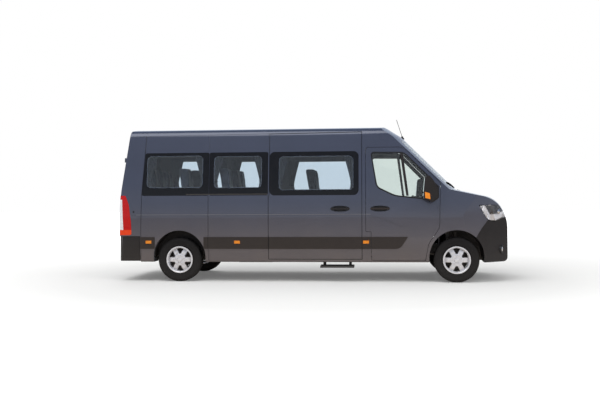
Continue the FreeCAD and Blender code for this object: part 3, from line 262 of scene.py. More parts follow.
def outward(piece: Piece) -> None:
    """Merge doubled points and turn every face outwards."""
    with editing(piece):
        bpy.ops.mesh.remove_doubles(threshold=0.00005)
        bpy.ops.mesh.normals_make_consistent(inside=False)


def change(piece: Piece, kind: str, **settings: object) -> None:
    """Add a modifier and apply it.

    Args:
        piece: The piece it shapes.
        kind: The modifier's type.
        **settings: Its values by name.
    """
    take(piece)
    step = piece.modifiers.new(kind.title(), kind)
    for key, value in settings.items():
        setattr(step, key, value)
    bpy.ops.object.modifier_apply(modifier=step.name)


def soften(piece: Piece, width: float, segments: int = 2) -> Piece:
    """Round a piece's edges, and return it."""
    change(piece, "BEVEL", width=width, segments=segments, limit_method="ANGLE",
           angle_limit=SHARP)
    return piece


def smooth(piece: Piece, angle: float) -> Piece:
    """Shade a piece smooth across edges flatter than an angle in degrees, and return it."""
    take(piece)
    bpy.ops.object.shade_smooth_by_angle(angle=math.radians(angle))
    return piece


def panel(name: str, low: Point, high: Point, test: FaceTest, border: Pair, rounding: float,
          segments: int = 2) -> Piece:
    """A block with a border round its face, and rounded edges.

    Args:
        name: Name of the piece.
        low: One corner.
        high: The corner opposite.
        test: Chooses the face.
        border: Width of the border, and how far the face inside it stands out.
        rounding: Radius of the edges.
        segments: Number of faces across each edge.

    Returns:
        The new piece.
    """
    piece = block(name, low, high)
    sink(piece, test, *border)
    return soften(piece, rounding, segments)


def lathe(name: str, outline: Sequence[Pair], axis: Axis = Axis.ACROSS, steps: int = 40,
          centre: Sequence[float] = (0, 0, 0)) -> Piece:
    """A turned piece, spun from a closed outline.

    Args:
        name: Name of the piece.
        outline: Points as radius and distance along the axis.
        axis: The direction of the axis.
        steps: Number of steps round.
        centre: The axis's point at distance nought.

    Returns:
        The new piece.
    """
    clear()
    along = Vector(axis.value)
    out = Vector((0, 0, 1)) if axis is not Axis.UP else Vector((1, 0, 0))
    spots = [Vector(centre) + out * r + along * d for r, d in (*outline, outline[0])]
    bpy.ops.mesh.primitive_plane_add(size=0.01, location=spots[0])
    piece = settle(named(name))
    with editing(piece):
        bpy.ops.mesh.select_mode(type="VERT")
        bpy.ops.mesh.merge(type="CENTER")
        for before, after in zip(spots, spots[1:]):
            bpy.ops.mesh.extrude_vertices_move(TRANSFORM_OT_translate={"value": after - before})
        bpy.ops.mesh.select_all(action="SELECT")
        bpy.ops.mesh.spin(steps=steps, angle=math.tau, center=centre, axis=along)
    outward(piece)
    return piece


def around(base: Pair, rows: Sequence[Pair]) -> list[Pair]:
    """An outline whose points are given from one place."""
    return [(base[0] + a, base[1] + b) for a, b in rows]


def copy(piece: Piece, name: str, place: Matrix) -> Piece:
    """A copy with its own mesh, moved by a matrix.

    Args:
        piece: The piece to copy.
        name: Name of the copy.
        place: Where the copy goes, as a turn and a shift.

    Returns:
        The copy.
    """
    take(piece)
    bpy.ops.object.duplicate(linked=False)
    twin = named(name)
    twin.matrix_world = place @ twin.matrix_world
    return settle(twin)


def join(name: str, pieces: Sequence[Piece]) -> Piece:
    """Several meshes as one piece.

    Args:
        name: Name of the piece.
        pieces: What it is made of.

    Returns:
        The piece.
    """
    clear()
    for piece in pieces:
        piece.select_set(True)
    bpy.context.view_layer.objects.active = pieces[0]
    bpy.ops.object.join()
    return named(name)


def cad_copy(node: str, name: str) -> Piece:
    """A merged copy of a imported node's mesh, to be shaped further.

    Args:
        node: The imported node.
        name: Name of the copy.

    Returns:
        The copy.
    """
    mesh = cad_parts[node].data.copy()
    piece = bpy.data.objects.new(name, mesh)
    bpy.context.scene.collection.objects.link(piece)
    mesh.materials.clear()
    outward(piece)
    return piece


def cad_skin(*nodes: str) -> Piece:
    """A merged copy of some nodes, to lay nets on; it is removed after use."""
    return join("skin", [cad_copy(node, "skin_" + node) for node in nodes])


def move(piece: Piece, rule: Callable[[Vector], Vector]) -> None:
    """Move every point of a piece by a rule.

    Args:
        piece: The piece.
        rule: Says where a point goes.
    """
    for point in piece.data.vertices:
        point.co = rule(point.co)
    piece.data.update()


def shift(piece: Piece, way: Sequence[float]) -> None:
    """Move every point of a piece by the same vector."""
    move(piece, lambda spot: spot + Vector(way))


def press(piece: Piece, target: Piece, axis: Axis, gap: float, wall: float) -> None:
    """Lay a net on another piece, seen along an axis, and give it a wall.

    Args:
        piece: The net, outside the target.
        target: The piece that it lies on.
        axis: The direction in which it is laid on, across or forward.
        gap: How far it stands off.
        wall: Its thickness.
    """
    change(piece, "SHRINKWRAP", target=target, wrap_method="PROJECT",
           use_project_x=axis is Axis.FORWARD, use_project_y=axis is Axis.ACROSS,
           use_project_z=False, use_negative_direction=True, use_positive_direction=True,
           offset=gap)
    change(piece, "SOLIDIFY", thickness=wall, offset=0.0)
    outward(piece)


def hit(node: str, start: Sequence[float], way: Sequence[float]) -> Vector:
    """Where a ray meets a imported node.

    Args:
        node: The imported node.
        start: Where the ray starts.
        way: Its direction.

    Returns:
        The place on the node's surface.

    Raises:
        RuntimeError: The ray misses the node.
    """
    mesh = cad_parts[node].data
    tree = BVHTree.FromPolygons([point.co for point in mesh.vertices],
                                [face.vertices for face in mesh.polygons])
    spot = tree.ray_cast(Vector(start), Vector(way))[0]
    if spot is None:
        raise RuntimeError("no surface of " + node)
    return spot


def chart(piece: Piece, layer: bpy.types.MeshUVLoopLayer,
          rule: Callable[[Vector], Pair]) -> None:
    """Fill a piece's map by a rule from its points."""
    for loop in piece.data.loops:
        layer.data[loop.index].uv = rule(piece.data.vertices[loop.vertex_index].co)


def dress(piece: Piece, body: str, finish: Material,
          angle: float | None = None) -> Piece:
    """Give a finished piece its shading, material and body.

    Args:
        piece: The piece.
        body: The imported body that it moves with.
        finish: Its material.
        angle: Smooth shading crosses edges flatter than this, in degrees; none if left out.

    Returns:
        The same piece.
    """
    if angle is not None:
        smooth(piece, angle)
    piece.data.materials.clear()
    piece.data.materials.append(finish)
    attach(piece, body)
    LOG.info("piece %s rides on %s", piece.name, body)
    return piece


class Nodes:
    """A node tree, with short ways to add nodes and to join them."""

    def __init__(self, tree: bpy.types.NodeTree, start: str = "ShaderNodeTexCoord",
                 end: str = "Principled BSDF") -> None:
        """Find the node that takes the result, and add the one that the work starts from.

        Args:
            tree: The tree to work in.
            start: Type of the node that the work starts from.
            end: Name or type of the node that takes the result.
        """
        self.tree = tree
        self.end = tree.nodes.get(end) or tree.nodes.new(end)
        self.start = self.add(start)

    def add(self, kind: str, inputs: dict | None = None, **settings: object) -> bpy.types.Node:
        """Add a node.

        Args:
            kind: The node's type.
            inputs: Values or sockets by the input's name or number.
            **settings: The node's own settings.

        Returns:
            The new node.
        """
        node = self.tree.nodes.new(kind)
        for key, value in settings.items():
            setattr(node, key, value)
        self.feed(node, inputs or {})
        return node

    def feed(self, node: bpy.types.Node, inputs: dict) -> None:
        """Link sockets to a node's inputs, or set their plain values.

        Args:
            node: The node.
            inputs: Values or sockets by the input's name or number.
        """
        for key, value in inputs.items():
            if isinstance(value, Socket):
                self.tree.links.new(value, node.inputs[key])
            elif isinstance(value, tuple) and node.inputs[key].type == "RGBA":
                node.inputs[key].default_value = (*value, 1.0)
            else:
                node.inputs[key].default_value = value

    def result(self, inputs: dict) -> None:
        """Feed the node that the work ends in."""
        self.feed(self.end, inputs)

    def math(self, kind: str, first: object, second: object = 0.0,
             third: object = 0.5) -> Socket:
        """The result of a sum of one, two or three values."""
        return self.add("ShaderNodeMath", {0: first, 1: second, 2: third},
                        operation=kind).outputs[0]

    def times(self, first: object, second: object) -> Socket:
        """The product of two values."""
        return self.math("MULTIPLY", first, second)

    def plus(self, first: object, second: object) -> Socket:
        """The sum of two values."""
        return self.math("ADD", first, second)

    def minus(self, first: object, second: object) -> Socket:
        """The difference of two values."""
        return self.math("SUBTRACT", first, second)

    def vector(self, kind: str, inputs: dict) -> bpy.types.Node:
        """A vector sum."""
        return self.add("ShaderNodeVectorMath", inputs, operation=kind)

    def blend(self, mask: object, first: object, second: object) -> Socket:
        """A colour between two, as a mask goes from 0 to 1."""
        node = self.add("ShaderNodeMix", {0: mask, 6: first, 7: second}, data_type="RGBA")
        return node.outputs[2]

    def span(self, value: object, low: object, high: object, start: float = 0.0,
             end: float = 1.0) -> Socket:
        """A value taken from one span to another, held at its ends."""
        node = self.add("ShaderNodeMapRange", {0: value, 1: low, 2: high, 3: start, 4: end})
        return node.outputs[0]

    def noise(self, scale: float, detail: float = 3.0, place: object | None = None) -> Socket:
        """Soft noise over the piece's own place."""
        place = self.start.outputs["Object"] if place is None else place
        return self.add("ShaderNodeTexNoise", {"Vector": place, "Scale": scale,
                                               "Detail": detail}).outputs[0]

    def parts(self, vector: Socket) -> list[Socket]:
        """A vector's three numbers."""
        return list(self.add("ShaderNodeSeparateXYZ", {0: vector}).outputs)

    def within(self, value: object, low: float, high: float) -> Socket:
        """One where a value lies between two limits, and nought elsewhere."""
        return self.times(self.math("GREATER_THAN", value, low),
                          self.math("LESS_THAN", value, high))

    def stroke(self, along: object, height: object, row: Stroke) -> Socket:
        """One on a narrow line between two points of the side, and nought elsewhere.

        Args:
            along: The place along the body.
            height: The height.
            row: X and Z of the first point and of the last one, neither of which falls between
                them, and half the line's width.

        Returns:
            The mask.
        """
        start, end, half = row[:2], row[2:4], row[4]
        upright = abs(end[1] - start[1]) > abs(end[0] - start[0])
        first, second = (height, along) if upright else (along, height)
        (a, b), (c, d) = (start[::-1], end[::-1]) if upright else (start, end)
        slope = (d - b) / (c - a)
        level = self.math("MULTIPLY_ADD", first, slope, b - a * slope)
        near = self.math("LESS_THAN", self.math("ABSOLUTE", self.minus(second, level)), half)
        return self.times(near, self.within(first, a, c))

    def effect(self, group: bpy.types.NodeTree, inputs: dict) -> bpy.types.Node:
        """Place a shared effect."""
        return self.add("ShaderNodeGroup", inputs, node_tree=group)

    def relief(self, height: object, strength: float, distance: float) -> None:
        """Give the surface a relief."""
        bump = self.add("ShaderNodeBump", {"Height": height, "Strength": strength,
                                           "Distance": distance})
        self.result({"Normal": bump.outputs[0]})


class Group(Nodes):
    """The nodes of an effect that more than one finish uses."""

    def __init__(self, name: str, inputs: Sequence[str], outputs: Sequence[str]) -> None:
        """Start a group with named sockets.

        Args:
            name: Name of the group.
            inputs: Names of its inputs; Place is a vector and the others are numbers.
            outputs: Names of its outputs, all numbers.
        """
        tree = bpy.data.node_groups.new(name, "ShaderNodeTree")
        for side, words in (("INPUT", inputs), ("OUTPUT", outputs)):
            for word in words:
                kind = "NodeSocketVector" if word == "Place" else "NodeSocketFloat"
                tree.interface.new_socket(word, in_out=side, socket_type=kind)
        super().__init__(tree, "NodeGroupInput", "NodeGroupOutput")
        self.given = [self.start.outputs[word] for word in inputs]


def dust_effect() -> bpy.types.NodeTree:
    """Road dust, thick at one height and gone at another.

    Returns:
        The effect's nodes.
    """
    work = Group("road_dust", ("Place", "Low", "High"), ("Mask",))
    place, low, high = work.given
    height = work.span(work.parts(place)[2], low, high, 1.0, 0.0)
    patches = work.span(work.noise(2.0, 5.0, place), 0.25, 0.8, 0.7, 1.0)
    work.result({"Mask": work.times(height, patches)})
    return work.tree


def grain_effect() -> bpy.types.NodeTree:
    """The leathery grain of moulded plastic.

    Returns:
        The effect's nodes.
    """
    work = Group("moulded_grain", ("Place", "Scale"), ("Height", "Mask"))
    place, scale = work.given
    cells = work.add("ShaderNodeTexVoronoi", {"Vector": place, "Scale": scale})
    work.result({"Height": cells.outputs[0], "Mask": work.noise(14.0, 5.0, place)})
    return work.tree


def weave_effect() -> bpy.types.NodeTree:
    """Crossed threads of a woven cloth.

    Returns:
        The effect's nodes.
    """
    work = Group("cloth_weave", ("Place", "Scale"), ("Height", "Mask"))
    place, scale = work.given
    large = work.vector("SCALE", {0: place, "Scale": scale}).outputs[0]
    threads = [work.add("ShaderNodeTexWave", {"Vector": large, "Scale": 1.0},
                        bands_direction=way).outputs[1] for way in ("X", "Y")]
    both = work.math("MAXIMUM", *threads)
    work.result({"Height": both, "Mask": work.times(both, work.noise(60.0, 4.0, place))})
    return work.tree


DUST, GRAIN, WEAVE = dust_effect(), grain_effect(), weave_effect()


def scaled(colour: Colour, factor: float, more: float = 0.0) -> Colour:
    """A lighter or darker colour."""
    return tuple(min(value * factor + more, 1.0) for value in colour)


@dataclass(frozen=True)
class Finish:
    """What every finish has: a name, and a method that fills its material's nodes."""

    name: str

    def fill(self, work: Nodes) -> None:
        """Add the nodes of the finish.

        Args:
            work: The material's nodes, which start with the surface alone.
        """
        raise NotImplementedError

    def make(self) -> Material:
        """The finished material."""
        material = bpy.data.materials.new(self.name)
        material.use_nodes = True
        self.fill(Nodes(material.node_tree))
        return material


@dataclass(frozen=True)
class BodyPaint(Finish):
    """Metallic paint outside, with painted shade along its shut lines and seams and a painted
    highlight on its crease; trim panels and a pale headlining inside.
    """

    name: str = "slate_paint"
    colour: Colour = (0.047, 0.054, 0.086)
    dust: Colour = (0.24, 0.195, 0.16)
    trim: Colour = (0.07, 0.07, 0.075)
    lining: Colour = (0.42, 0.42, 0.4)
    # colour of the painted shade along the shut lines and seams
    gap: Colour = (0.004, 0.004, 0.006)
    # colour of the painted highlight on the crease's upper edge
    glint: Colour = (0.4, 0.38, 0.36)
    middle: Point = (0.0, 0.0, 1.3)
    flank: float = 0.75
    right_seams: tuple[Stroke, ...] = (
        (-0.6625, 0.352, -0.6625, 1.357, 0.005), (-0.6485, 1.357, -0.6485, 2.33, 0.005),
        (0.7965, 0.352, 0.7965, 2.345, 0.005), (-0.6625, 0.356, 0.7965, 0.356, 0.004),
        (-0.6485, 2.322, 0.7965, 2.336, 0.004))
    seams: tuple[Stroke, ...] = (
        (-2.702, 0.705, -2.69, 1.357, 0.004), (-2.69, 1.357, -2.635, 2.3, 0.004),
        (-1.62, 0.335, -1.62, 1.357, 0.0025))
    crease: Stroke = (-2.78, 1.056, 0.93, 1.056, 0.0028)

    def fill(self, work: Nodes) -> None:
        """Add the nodes of the finish."""
        place, normal = work.start.outputs["Object"], work.start.outputs["Normal"]
        along, side, height = work.parts(place)
        tone = work.span(work.noise(1.4, 2.0), 0.3, 0.7, 0.95, 1.06)
        flake = work.span(work.noise(2400.0, 0.0), 0.35, 0.7, 0.9, 1.12)
        paint = work.vector("SCALE", {0: self.colour, "Scale": work.times(tone, flake)})
        dust = work.effect(DUST, {"Place": place, "Low": 0.35, "High": 1.25}).outputs[0]
        outside = work.blend(work.times(dust, 0.5), paint.outputs[0], self.dust)
        beside = work.math("GREATER_THAN", work.math("ABSOLUTE", side), self.flank)
        right = work.math("LESS_THAN", side, -self.flank)
        # painted shade: near-black lines along the shut lines and seams, where the gaps between
        # panels lie in shade
        lines = 0.0
        for rows, face in ((self.right_seams, right), (self.seams, beside)):
            for row in rows:
                line = work.times(work.stroke(along, height, row), face)
                lines = work.math("MAXIMUM", lines, line)
        # painted highlight: a pale hairline along the crease's upper edge, where it would catch
        # the light
        crease_highlight = work.times(work.times(work.stroke(along, height, self.crease), beside), 0.4)
        outside = work.blend(crease_highlight, outside, self.glint)
        outside = work.blend(work.times(lines, 0.85), outside, self.gap)
        inside = work.blend(work.span(height, 2.05, 2.12), self.trim, self.lining)
        # a face looks inwards if its normal points towards the middle
        reach = work.vector("SUBTRACT", {0: place, 1: self.middle}).outputs[0]
        reach = work.vector("MULTIPLY", {0: reach, 1: (0.3, 1.0, 1.0)}).outputs[0]
        away = work.vector("DOT_PRODUCT", {0: reach, 1: normal}).outputs[1]
        inner = work.math("LESS_THAN", away, 0.0)
        outer = work.minus(1.0, inner)
        work.result({
            "Base Color": work.blend(inner, outside, inside),
            "Metallic": work.times(outer, 0.45),
            "Roughness": work.plus(work.times(inner, 0.45),
                                   work.plus(0.3, work.times(dust, 0.2))),
            "Coat Weight": work.times(work.minus(outer, lines),
                                      work.minus(1.0, work.times(dust, 0.6))),
            "Coat Roughness": 0.04})
        ripple = work.times(inner, work.noise(300.0, 2.0))
        ribs = work.times(work.span(height, 2.36, 2.4), work.math("PINGPONG", side, 0.11))
        work.relief(work.plus(work.times(ripple, 0.002), ribs), 0.5, 0.05)


@dataclass(frozen=True)
class Plastic(Finish):
    """Moulded plastic with a fine grain, dusty low down."""

    colour: Colour
    roughness: float = 0.55
    scale: float = 620.0
    relief: float = 0.25
    dust: float = 0.1
    coat: float = 0.0
    # places along the body where the moulding's gaps get painted shade
    joints: tuple[float, ...] = ()
    specular: float = 0.35
    joint_half: float = 0.004

    def fill(self, work: Nodes) -> None:
        """Add the nodes of the finish."""
        place = work.start.outputs["Object"]
        grain = work.effect(GRAIN, {"Place": place, "Scale": self.scale}).outputs
        dust = work.effect(DUST, {"Place": place, "Low": 0.25, "High": 0.8}).outputs[0]
        base = work.blend(grain["Mask"], self.colour, scaled(self.colour, 1.35, 0.004))
        base = work.blend(work.times(dust, self.dust), base, (0.19, 0.17, 0.15))
        along = work.parts(place)[0]
        # painted shade: a near-black line across the moulding at each gap between its pieces
        for joint in self.joints:
            line = work.within(along, joint - self.joint_half, joint + self.joint_half)
            base = work.blend(line, base, (0.002, 0.002, 0.002))
        work.result({
            "Base Color": base,
            "Roughness": work.span(grain["Mask"], 0.2, 0.8, self.roughness - 0.06,
                                   self.roughness + 0.08),
            "Specular IOR Level": self.specular,
            "Coat Weight": self.coat, "Coat Roughness": 0.03})
        work.relief(grain["Height"], self.relief, 0.0006)


@dataclass(frozen=True)
class Metal(Finish):
    """Painted, cast or bare metal."""

    colour: Colour
    metallic: float
    roughness: float
    scale: float = 90.0
    relief: float = 0.15
    grime: float = 0.3

    def fill(self, work: Nodes) -> None:
        """Add the nodes of the finish."""
        tone = work.noise(self.scale, 5.0)
        dust = work.effect(DUST, {"Place": work.start.outputs["Object"], "Low": 0.0,
                                  "High": 1.3}).outputs[0]
        metal = work.blend(tone, scaled(self.colour, 0.8), self.colour)
        work.result({
            "Base Color": work.blend(work.times(dust, self.grime), metal, (0.12, 0.1, 0.085)),
            "Metallic": work.span(dust, 0.0, 1.0, self.metallic, self.metallic * 0.6),
            "Roughness": work.span(tone, 0.25, 0.75, self.roughness - 0.05,
                                   self.roughness + 0.08)})
        work.relief(tone, self.relief, 0.001)


@dataclass(frozen=True)
class Glass(Finish):
    """Safety glass that lets the cabin show."""

    colour: Colour

    def fill(self, work: Nodes) -> None:
        """Add the nodes of the finish."""
        work.result({
            "Base Color": self.colour, "IOR": 1.45, "Transmission Weight": 1.0,
            "Roughness": work.span(work.noise(2.5, 5.0), 0.55, 0.9, 0.0, 0.03)})


@dataclass(frozen=True)
class Cloth(Finish):
    """Woven cloth with sewn lines that follow the piece's own map, darkened by painted shade in
    their channels.
    """

    colour: Colour
    thread: Colour
    scale: float
    seams: tuple[float, ...] = ()
    seam_half: float = 0.007

    def fill(self, work: Nodes) -> None:
        """Add the nodes of the finish."""
        place = work.start.outputs["UV"]
        weave = work.effect(WEAVE, {"Place": place, "Scale": self.scale}).outputs
        fleck = work.span(work.noise(45.0, 4.0, place), 0.35, 0.7)
        base = work.blend(work.times(fleck, weave["Mask"]), self.colour, self.thread)
        height = work.times(weave["Height"], 0.12)
        across = work.math("ABSOLUTE", work.parts(place)[0])
        # painted shade: the colour darkens in each sewn channel, which the relief also sinks
        for line in self.seams:
            away = work.math("ABSOLUTE", work.minus(across, line))
            flat = work.span(away, 0.0, self.seam_half)
            height = work.plus(height, flat)
            base = work.blend(flat, scaled(self.colour, 0.35), base)
        work.result({"Base Color": base, "Roughness": work.span(fleck, 0.0, 1.0, 0.82, 0.95),
                     "Sheen Weight": 0.25, "Sheen Roughness": 0.5})
        work.relief(height, 0.55, 0.003)


@dataclass(frozen=True)
class LampUnit(Finish):
    """A lamp's moulded unit, whose zones follow its height and its place along the body."""

    colour: Colour
    low: Colour
    strip: Colour
    low_top: float
    strip_edge: float
    lean: float
    strip_top: float = 9.0
    strip_reach: float = 0.0

    def fill(self, work: Nodes) -> None:
        """Add a main colour, a block below, a strip at the outer edge, and painted shade and
        highlight along the flutes.
        """
        along, across, height = work.parts(work.start.outputs["Object"])
        edge = work.plus(along, work.times(height, self.lean))
        base = work.blend(work.math("LESS_THAN", height, self.low_top), self.colour, self.low)
        outer = work.math("GREATER_THAN", work.math("ABSOLUTE", across), self.strip_reach)
        strip = work.times(work.math("LESS_THAN", edge, self.strip_edge),
                           work.within(height, self.low_top, self.strip_top))
        base = work.blend(work.times(strip, outer), base, self.strip)
        # painted shade and highlight: the colour darkens and brightens across the flutes that the
        # relief raises
        flutes = work.plus(work.math("PINGPONG", height, 0.011),
                           work.math("PINGPONG", along, 0.006))
        shade = work.vector("SCALE", {0: base, "Scale": work.span(
            flutes, 0.0, 0.017, 0.75, 1.1)})
        work.result({"Base Color": shade.outputs[0], "Roughness": work.span(
            work.noise(30.0), 0.3, 0.8, 0.1, 0.2), "Specular IOR Level": 0.3})
        work.relief(flutes, 0.25, 0.02)


@dataclass(frozen=True)
class WheelEnamel(Finish):
    """Silver enamel on the wheels, with painted shade round the inner ends of the openings, where
    the gaps would run deep.
    """

    name: str = "wheel_enamel"
    colour: Colour = (0.78, 0.77, 0.79)
    # colour of the painted shade that stands for the openings' depth
    hollow: Colour = (0.02, 0.016, 0.014)
    pocket: Pair = (0.094, 0.172)

    def fill(self, work: Nodes) -> None:
        """Add the nodes of the finish."""
        along, _, height = work.parts(work.start.outputs["Object"])
        front = work.math("GREATER_THAN", along, 0.0)
        x = work.minus(along, work.span(front, 0.0, 1.0, REAR_AXLE, FRONT_AXLE))
        z = work.minus(height, WHEEL_RADIUS)
        far = work.add("ShaderNodeCombineXYZ", {0: x, 1: z}).outputs[0]
        radius = work.vector("LENGTH", {0: far}).outputs[1]
        turn = work.math("PINGPONG", work.math("ARCTAN2", z, x), math.pi / 6)
        # painted shade: near-black on the flat face, widening each gap between spokes inwards
        pocket = work.times(work.within(radius, *self.pocket), work.math(
            "GREATER_THAN", turn, work.span(radius, *self.pocket, 0.36, 0.2)))
        tone = work.noise(60.0, 5.0)
        silver = work.blend(tone, scaled(self.colour, 0.86), self.colour)
        work.result({
            "Base Color": work.blend(pocket, silver, self.hollow),
            "Metallic": work.span(pocket, 0.0, 1.0, 0.35, 0.0),
            "Roughness": work.span(tone, 0.25, 0.75, 0.25, 0.38)})
        work.relief(tone, 0.02, 0.001)


@dataclass(frozen=True)
class HeadlampUnit(Finish):
    """A silver reflector unit with a dark bay round the projectors."""

    name: str = "headlamp_unit"
    silver: Colour = (0.78, 0.77, 0.8)
    bay: Colour = (0.018, 0.016, 0.02)
    rim: Colour = (0.01, 0.01, 0.012)

    def fill(self, work: Nodes) -> None:
        """Add the nodes of the finish."""
        along, _, height = work.parts(work.start.outputs["Object"])
        # distance ahead of the lamp's slanting rear edge, and above its lower edge
        rear = work.minus(work.plus(along, work.times(height, 0.58)), 3.265)
        rise = work.times(work.math("MAXIMUM", work.minus(along, 2.84), 0.0), 0.35)
        low = work.minus(height, work.plus(0.94, rise))
        bay = work.times(work.span(rear, 0.08, 0.095), work.span(low, 0.1, 0.112))
        edge = work.span(work.math("MINIMUM", rear, low), 0.006, 0.014)
        work.result({
            "Base Color": work.blend(edge, self.rim, work.blend(bay, self.silver, self.bay)),
            "Roughness": work.span(work.noise(20.0), 0.3, 0.7, 0.16, 0.26),
            "Metallic": work.times(work.minus(1.0, bay), 0.4), "Coat Weight": 0.6})
        work.relief(work.times(work.math("PINGPONG", along, 0.012), 0.5), 0.5, 0.02)


class Finishes:
    """Every finish of the vehicle, made once."""

    def __init__(self) -> None:
        """Make the materials."""
        orange = (0.85, 0.26, 0.02)
        self.paint = BodyPaint().make()
        self.under = Metal("underbody_coat", (0.035, 0.035, 0.037), 0.0, 0.75, 140.0, 0.4).make()
        self.band = Plastic("gloss_black", (0.002, 0.002, 0.003), 0.14, 900.0, 0.01, 0.02,
                            specular=0.3).make()
        self.trim = Plastic("moulded_black", (0.01, 0.008, 0.008), 0.6).make()
        self.strip = Plastic("moulding_black", (0.019, 0.0135, 0.0115), 0.58,
                             joints=(-1.62, -0.656, 0.7965)).make()
        self.cup = Plastic("smooth_black", (0.006, 0.006, 0.007), 0.35, 700.0, 0.1).make()
        self.rubber = Plastic("tyre_rubber", (0.006, 0.0055, 0.006), 0.85, 380.0, 0.4,
                              0.08, specular=0.2).make()
        self.wheel = WheelEnamel().make()
        self.chrome = Metal("bright_metal", (0.72, 0.73, 0.75), 0.95, 0.12, 40.0, 0.01,
                            0.05).make()
        self.iron = Metal("cast_iron", (0.075, 0.07, 0.066), 0.7, 0.6, 160.0, 0.5).make()
        self.steel = Metal("exhaust_steel", (0.2, 0.19, 0.18), 0.85, 0.45, 50.0, 0.2).make()
        self.clear = Glass("clear_glass", (0.8, 0.86, 0.84)).make()
        self.tinted = Glass("tinted_glass", (0.74, 0.82, 0.88)).make()
        self.lens = Glass("lamp_lens", (0.93, 0.94, 0.96)).make()
        self.unit = HeadlampUnit().make()
        self.mirror = Metal("silvered_glass", (0.75, 0.77, 0.8), 1.0, 0.03, 20.0, 0.0,
                            0.0).make()
        self.amber = LampUnit("amber_lens", orange, orange, orange, -9.0, -9.0, 0.0).make()
        self.tail = LampUnit("tail_lamp_unit", (0.5, 0.006, 0.006), (0.8, 0.055, 0.01),
                             (0.8, 0.8, 0.82), 0.82, -2.9474, 0.044, 1.3, 0.955).make()
        self.white = Plastic("plate_white", (0.62, 0.62, 0.6), 0.4, 300.0, 0.05, 0.15).make()
        self.seat = Cloth("seat_cloth", (0.016, 0.021, 0.038), (0.055, 0.065, 0.095), 1400.0,
                          (0.115, 0.19)).make()
        self.curtain = Cloth("curtain_cloth", (0.016, 0.02, 0.032), (0.045, 0.05, 0.07),
                             1100.0).make()
        self.cabin = Plastic("cabin_plastic", (0.055, 0.055, 0.06), 0.6, 420.0, 0.3, 0.0).make()
        self.screen = Plastic("dark_display", (0.01, 0.012, 0.016), 0.1, 500.0, 0.0, 0.0,
                              1.0).make()


@dataclass
class Assembly:
    """What every sub-assembly has."""

    finishes: Finishes

    def black(self, piece: Piece, body: str = "root", angle: float | None = 40.0) -> Piece:
        """Dress a piece as smooth black trim."""
        return dress(piece, body, self.finishes.cup, angle)


@dataclass
class Shell(Assembly):
    """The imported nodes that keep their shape, each with its finish."""

    def table(self) -> dict[str, Material]:
        """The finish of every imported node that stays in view."""
        kit = self.finishes
        groups = {
            "side_right side_left roof roof_cap front_structure front_wings bonnet "
            "front_door_right front_door_left sliding_door rear_door_right "
            "rear_door_left": kit.paint,
            "window_bands grille": kit.band,
            "side_windows rear_glass_right rear_glass_left": kit.tinted,
            "windscreen front_glass_right front_glass_left": kit.clear,
            "front_bumper rear_bumper sliding_handle arch_liners antenna wipers "
            "fuel_tank": kit.trim,
            "side_mouldings door_trim_right door_trim_left": kit.strip,
            "floor subframe seat_frames step": kit.under,
            "tail_lamps": kit.tail, "side_markers": kit.amber,
            "wheel_front_right wheel_front_left wheel_rear_right wheel_rear_left": kit.wheel,
            "knuckle_right knuckle_left rear_axle engine": kit.iron,
            "exhaust": kit.steel, "spare_wheel": kit.rubber,
        }
        return {node: finish for names, finish in groups.items() for node in names.split()}

    def build(self) -> None:
        """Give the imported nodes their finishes."""
        for node, finish in self.table().items():
            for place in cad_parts[node].material_slots:
                place.link = "OBJECT"
                place.material = finish
        LOG.info("shell: %d packed nodes dressed", len(self.table()))


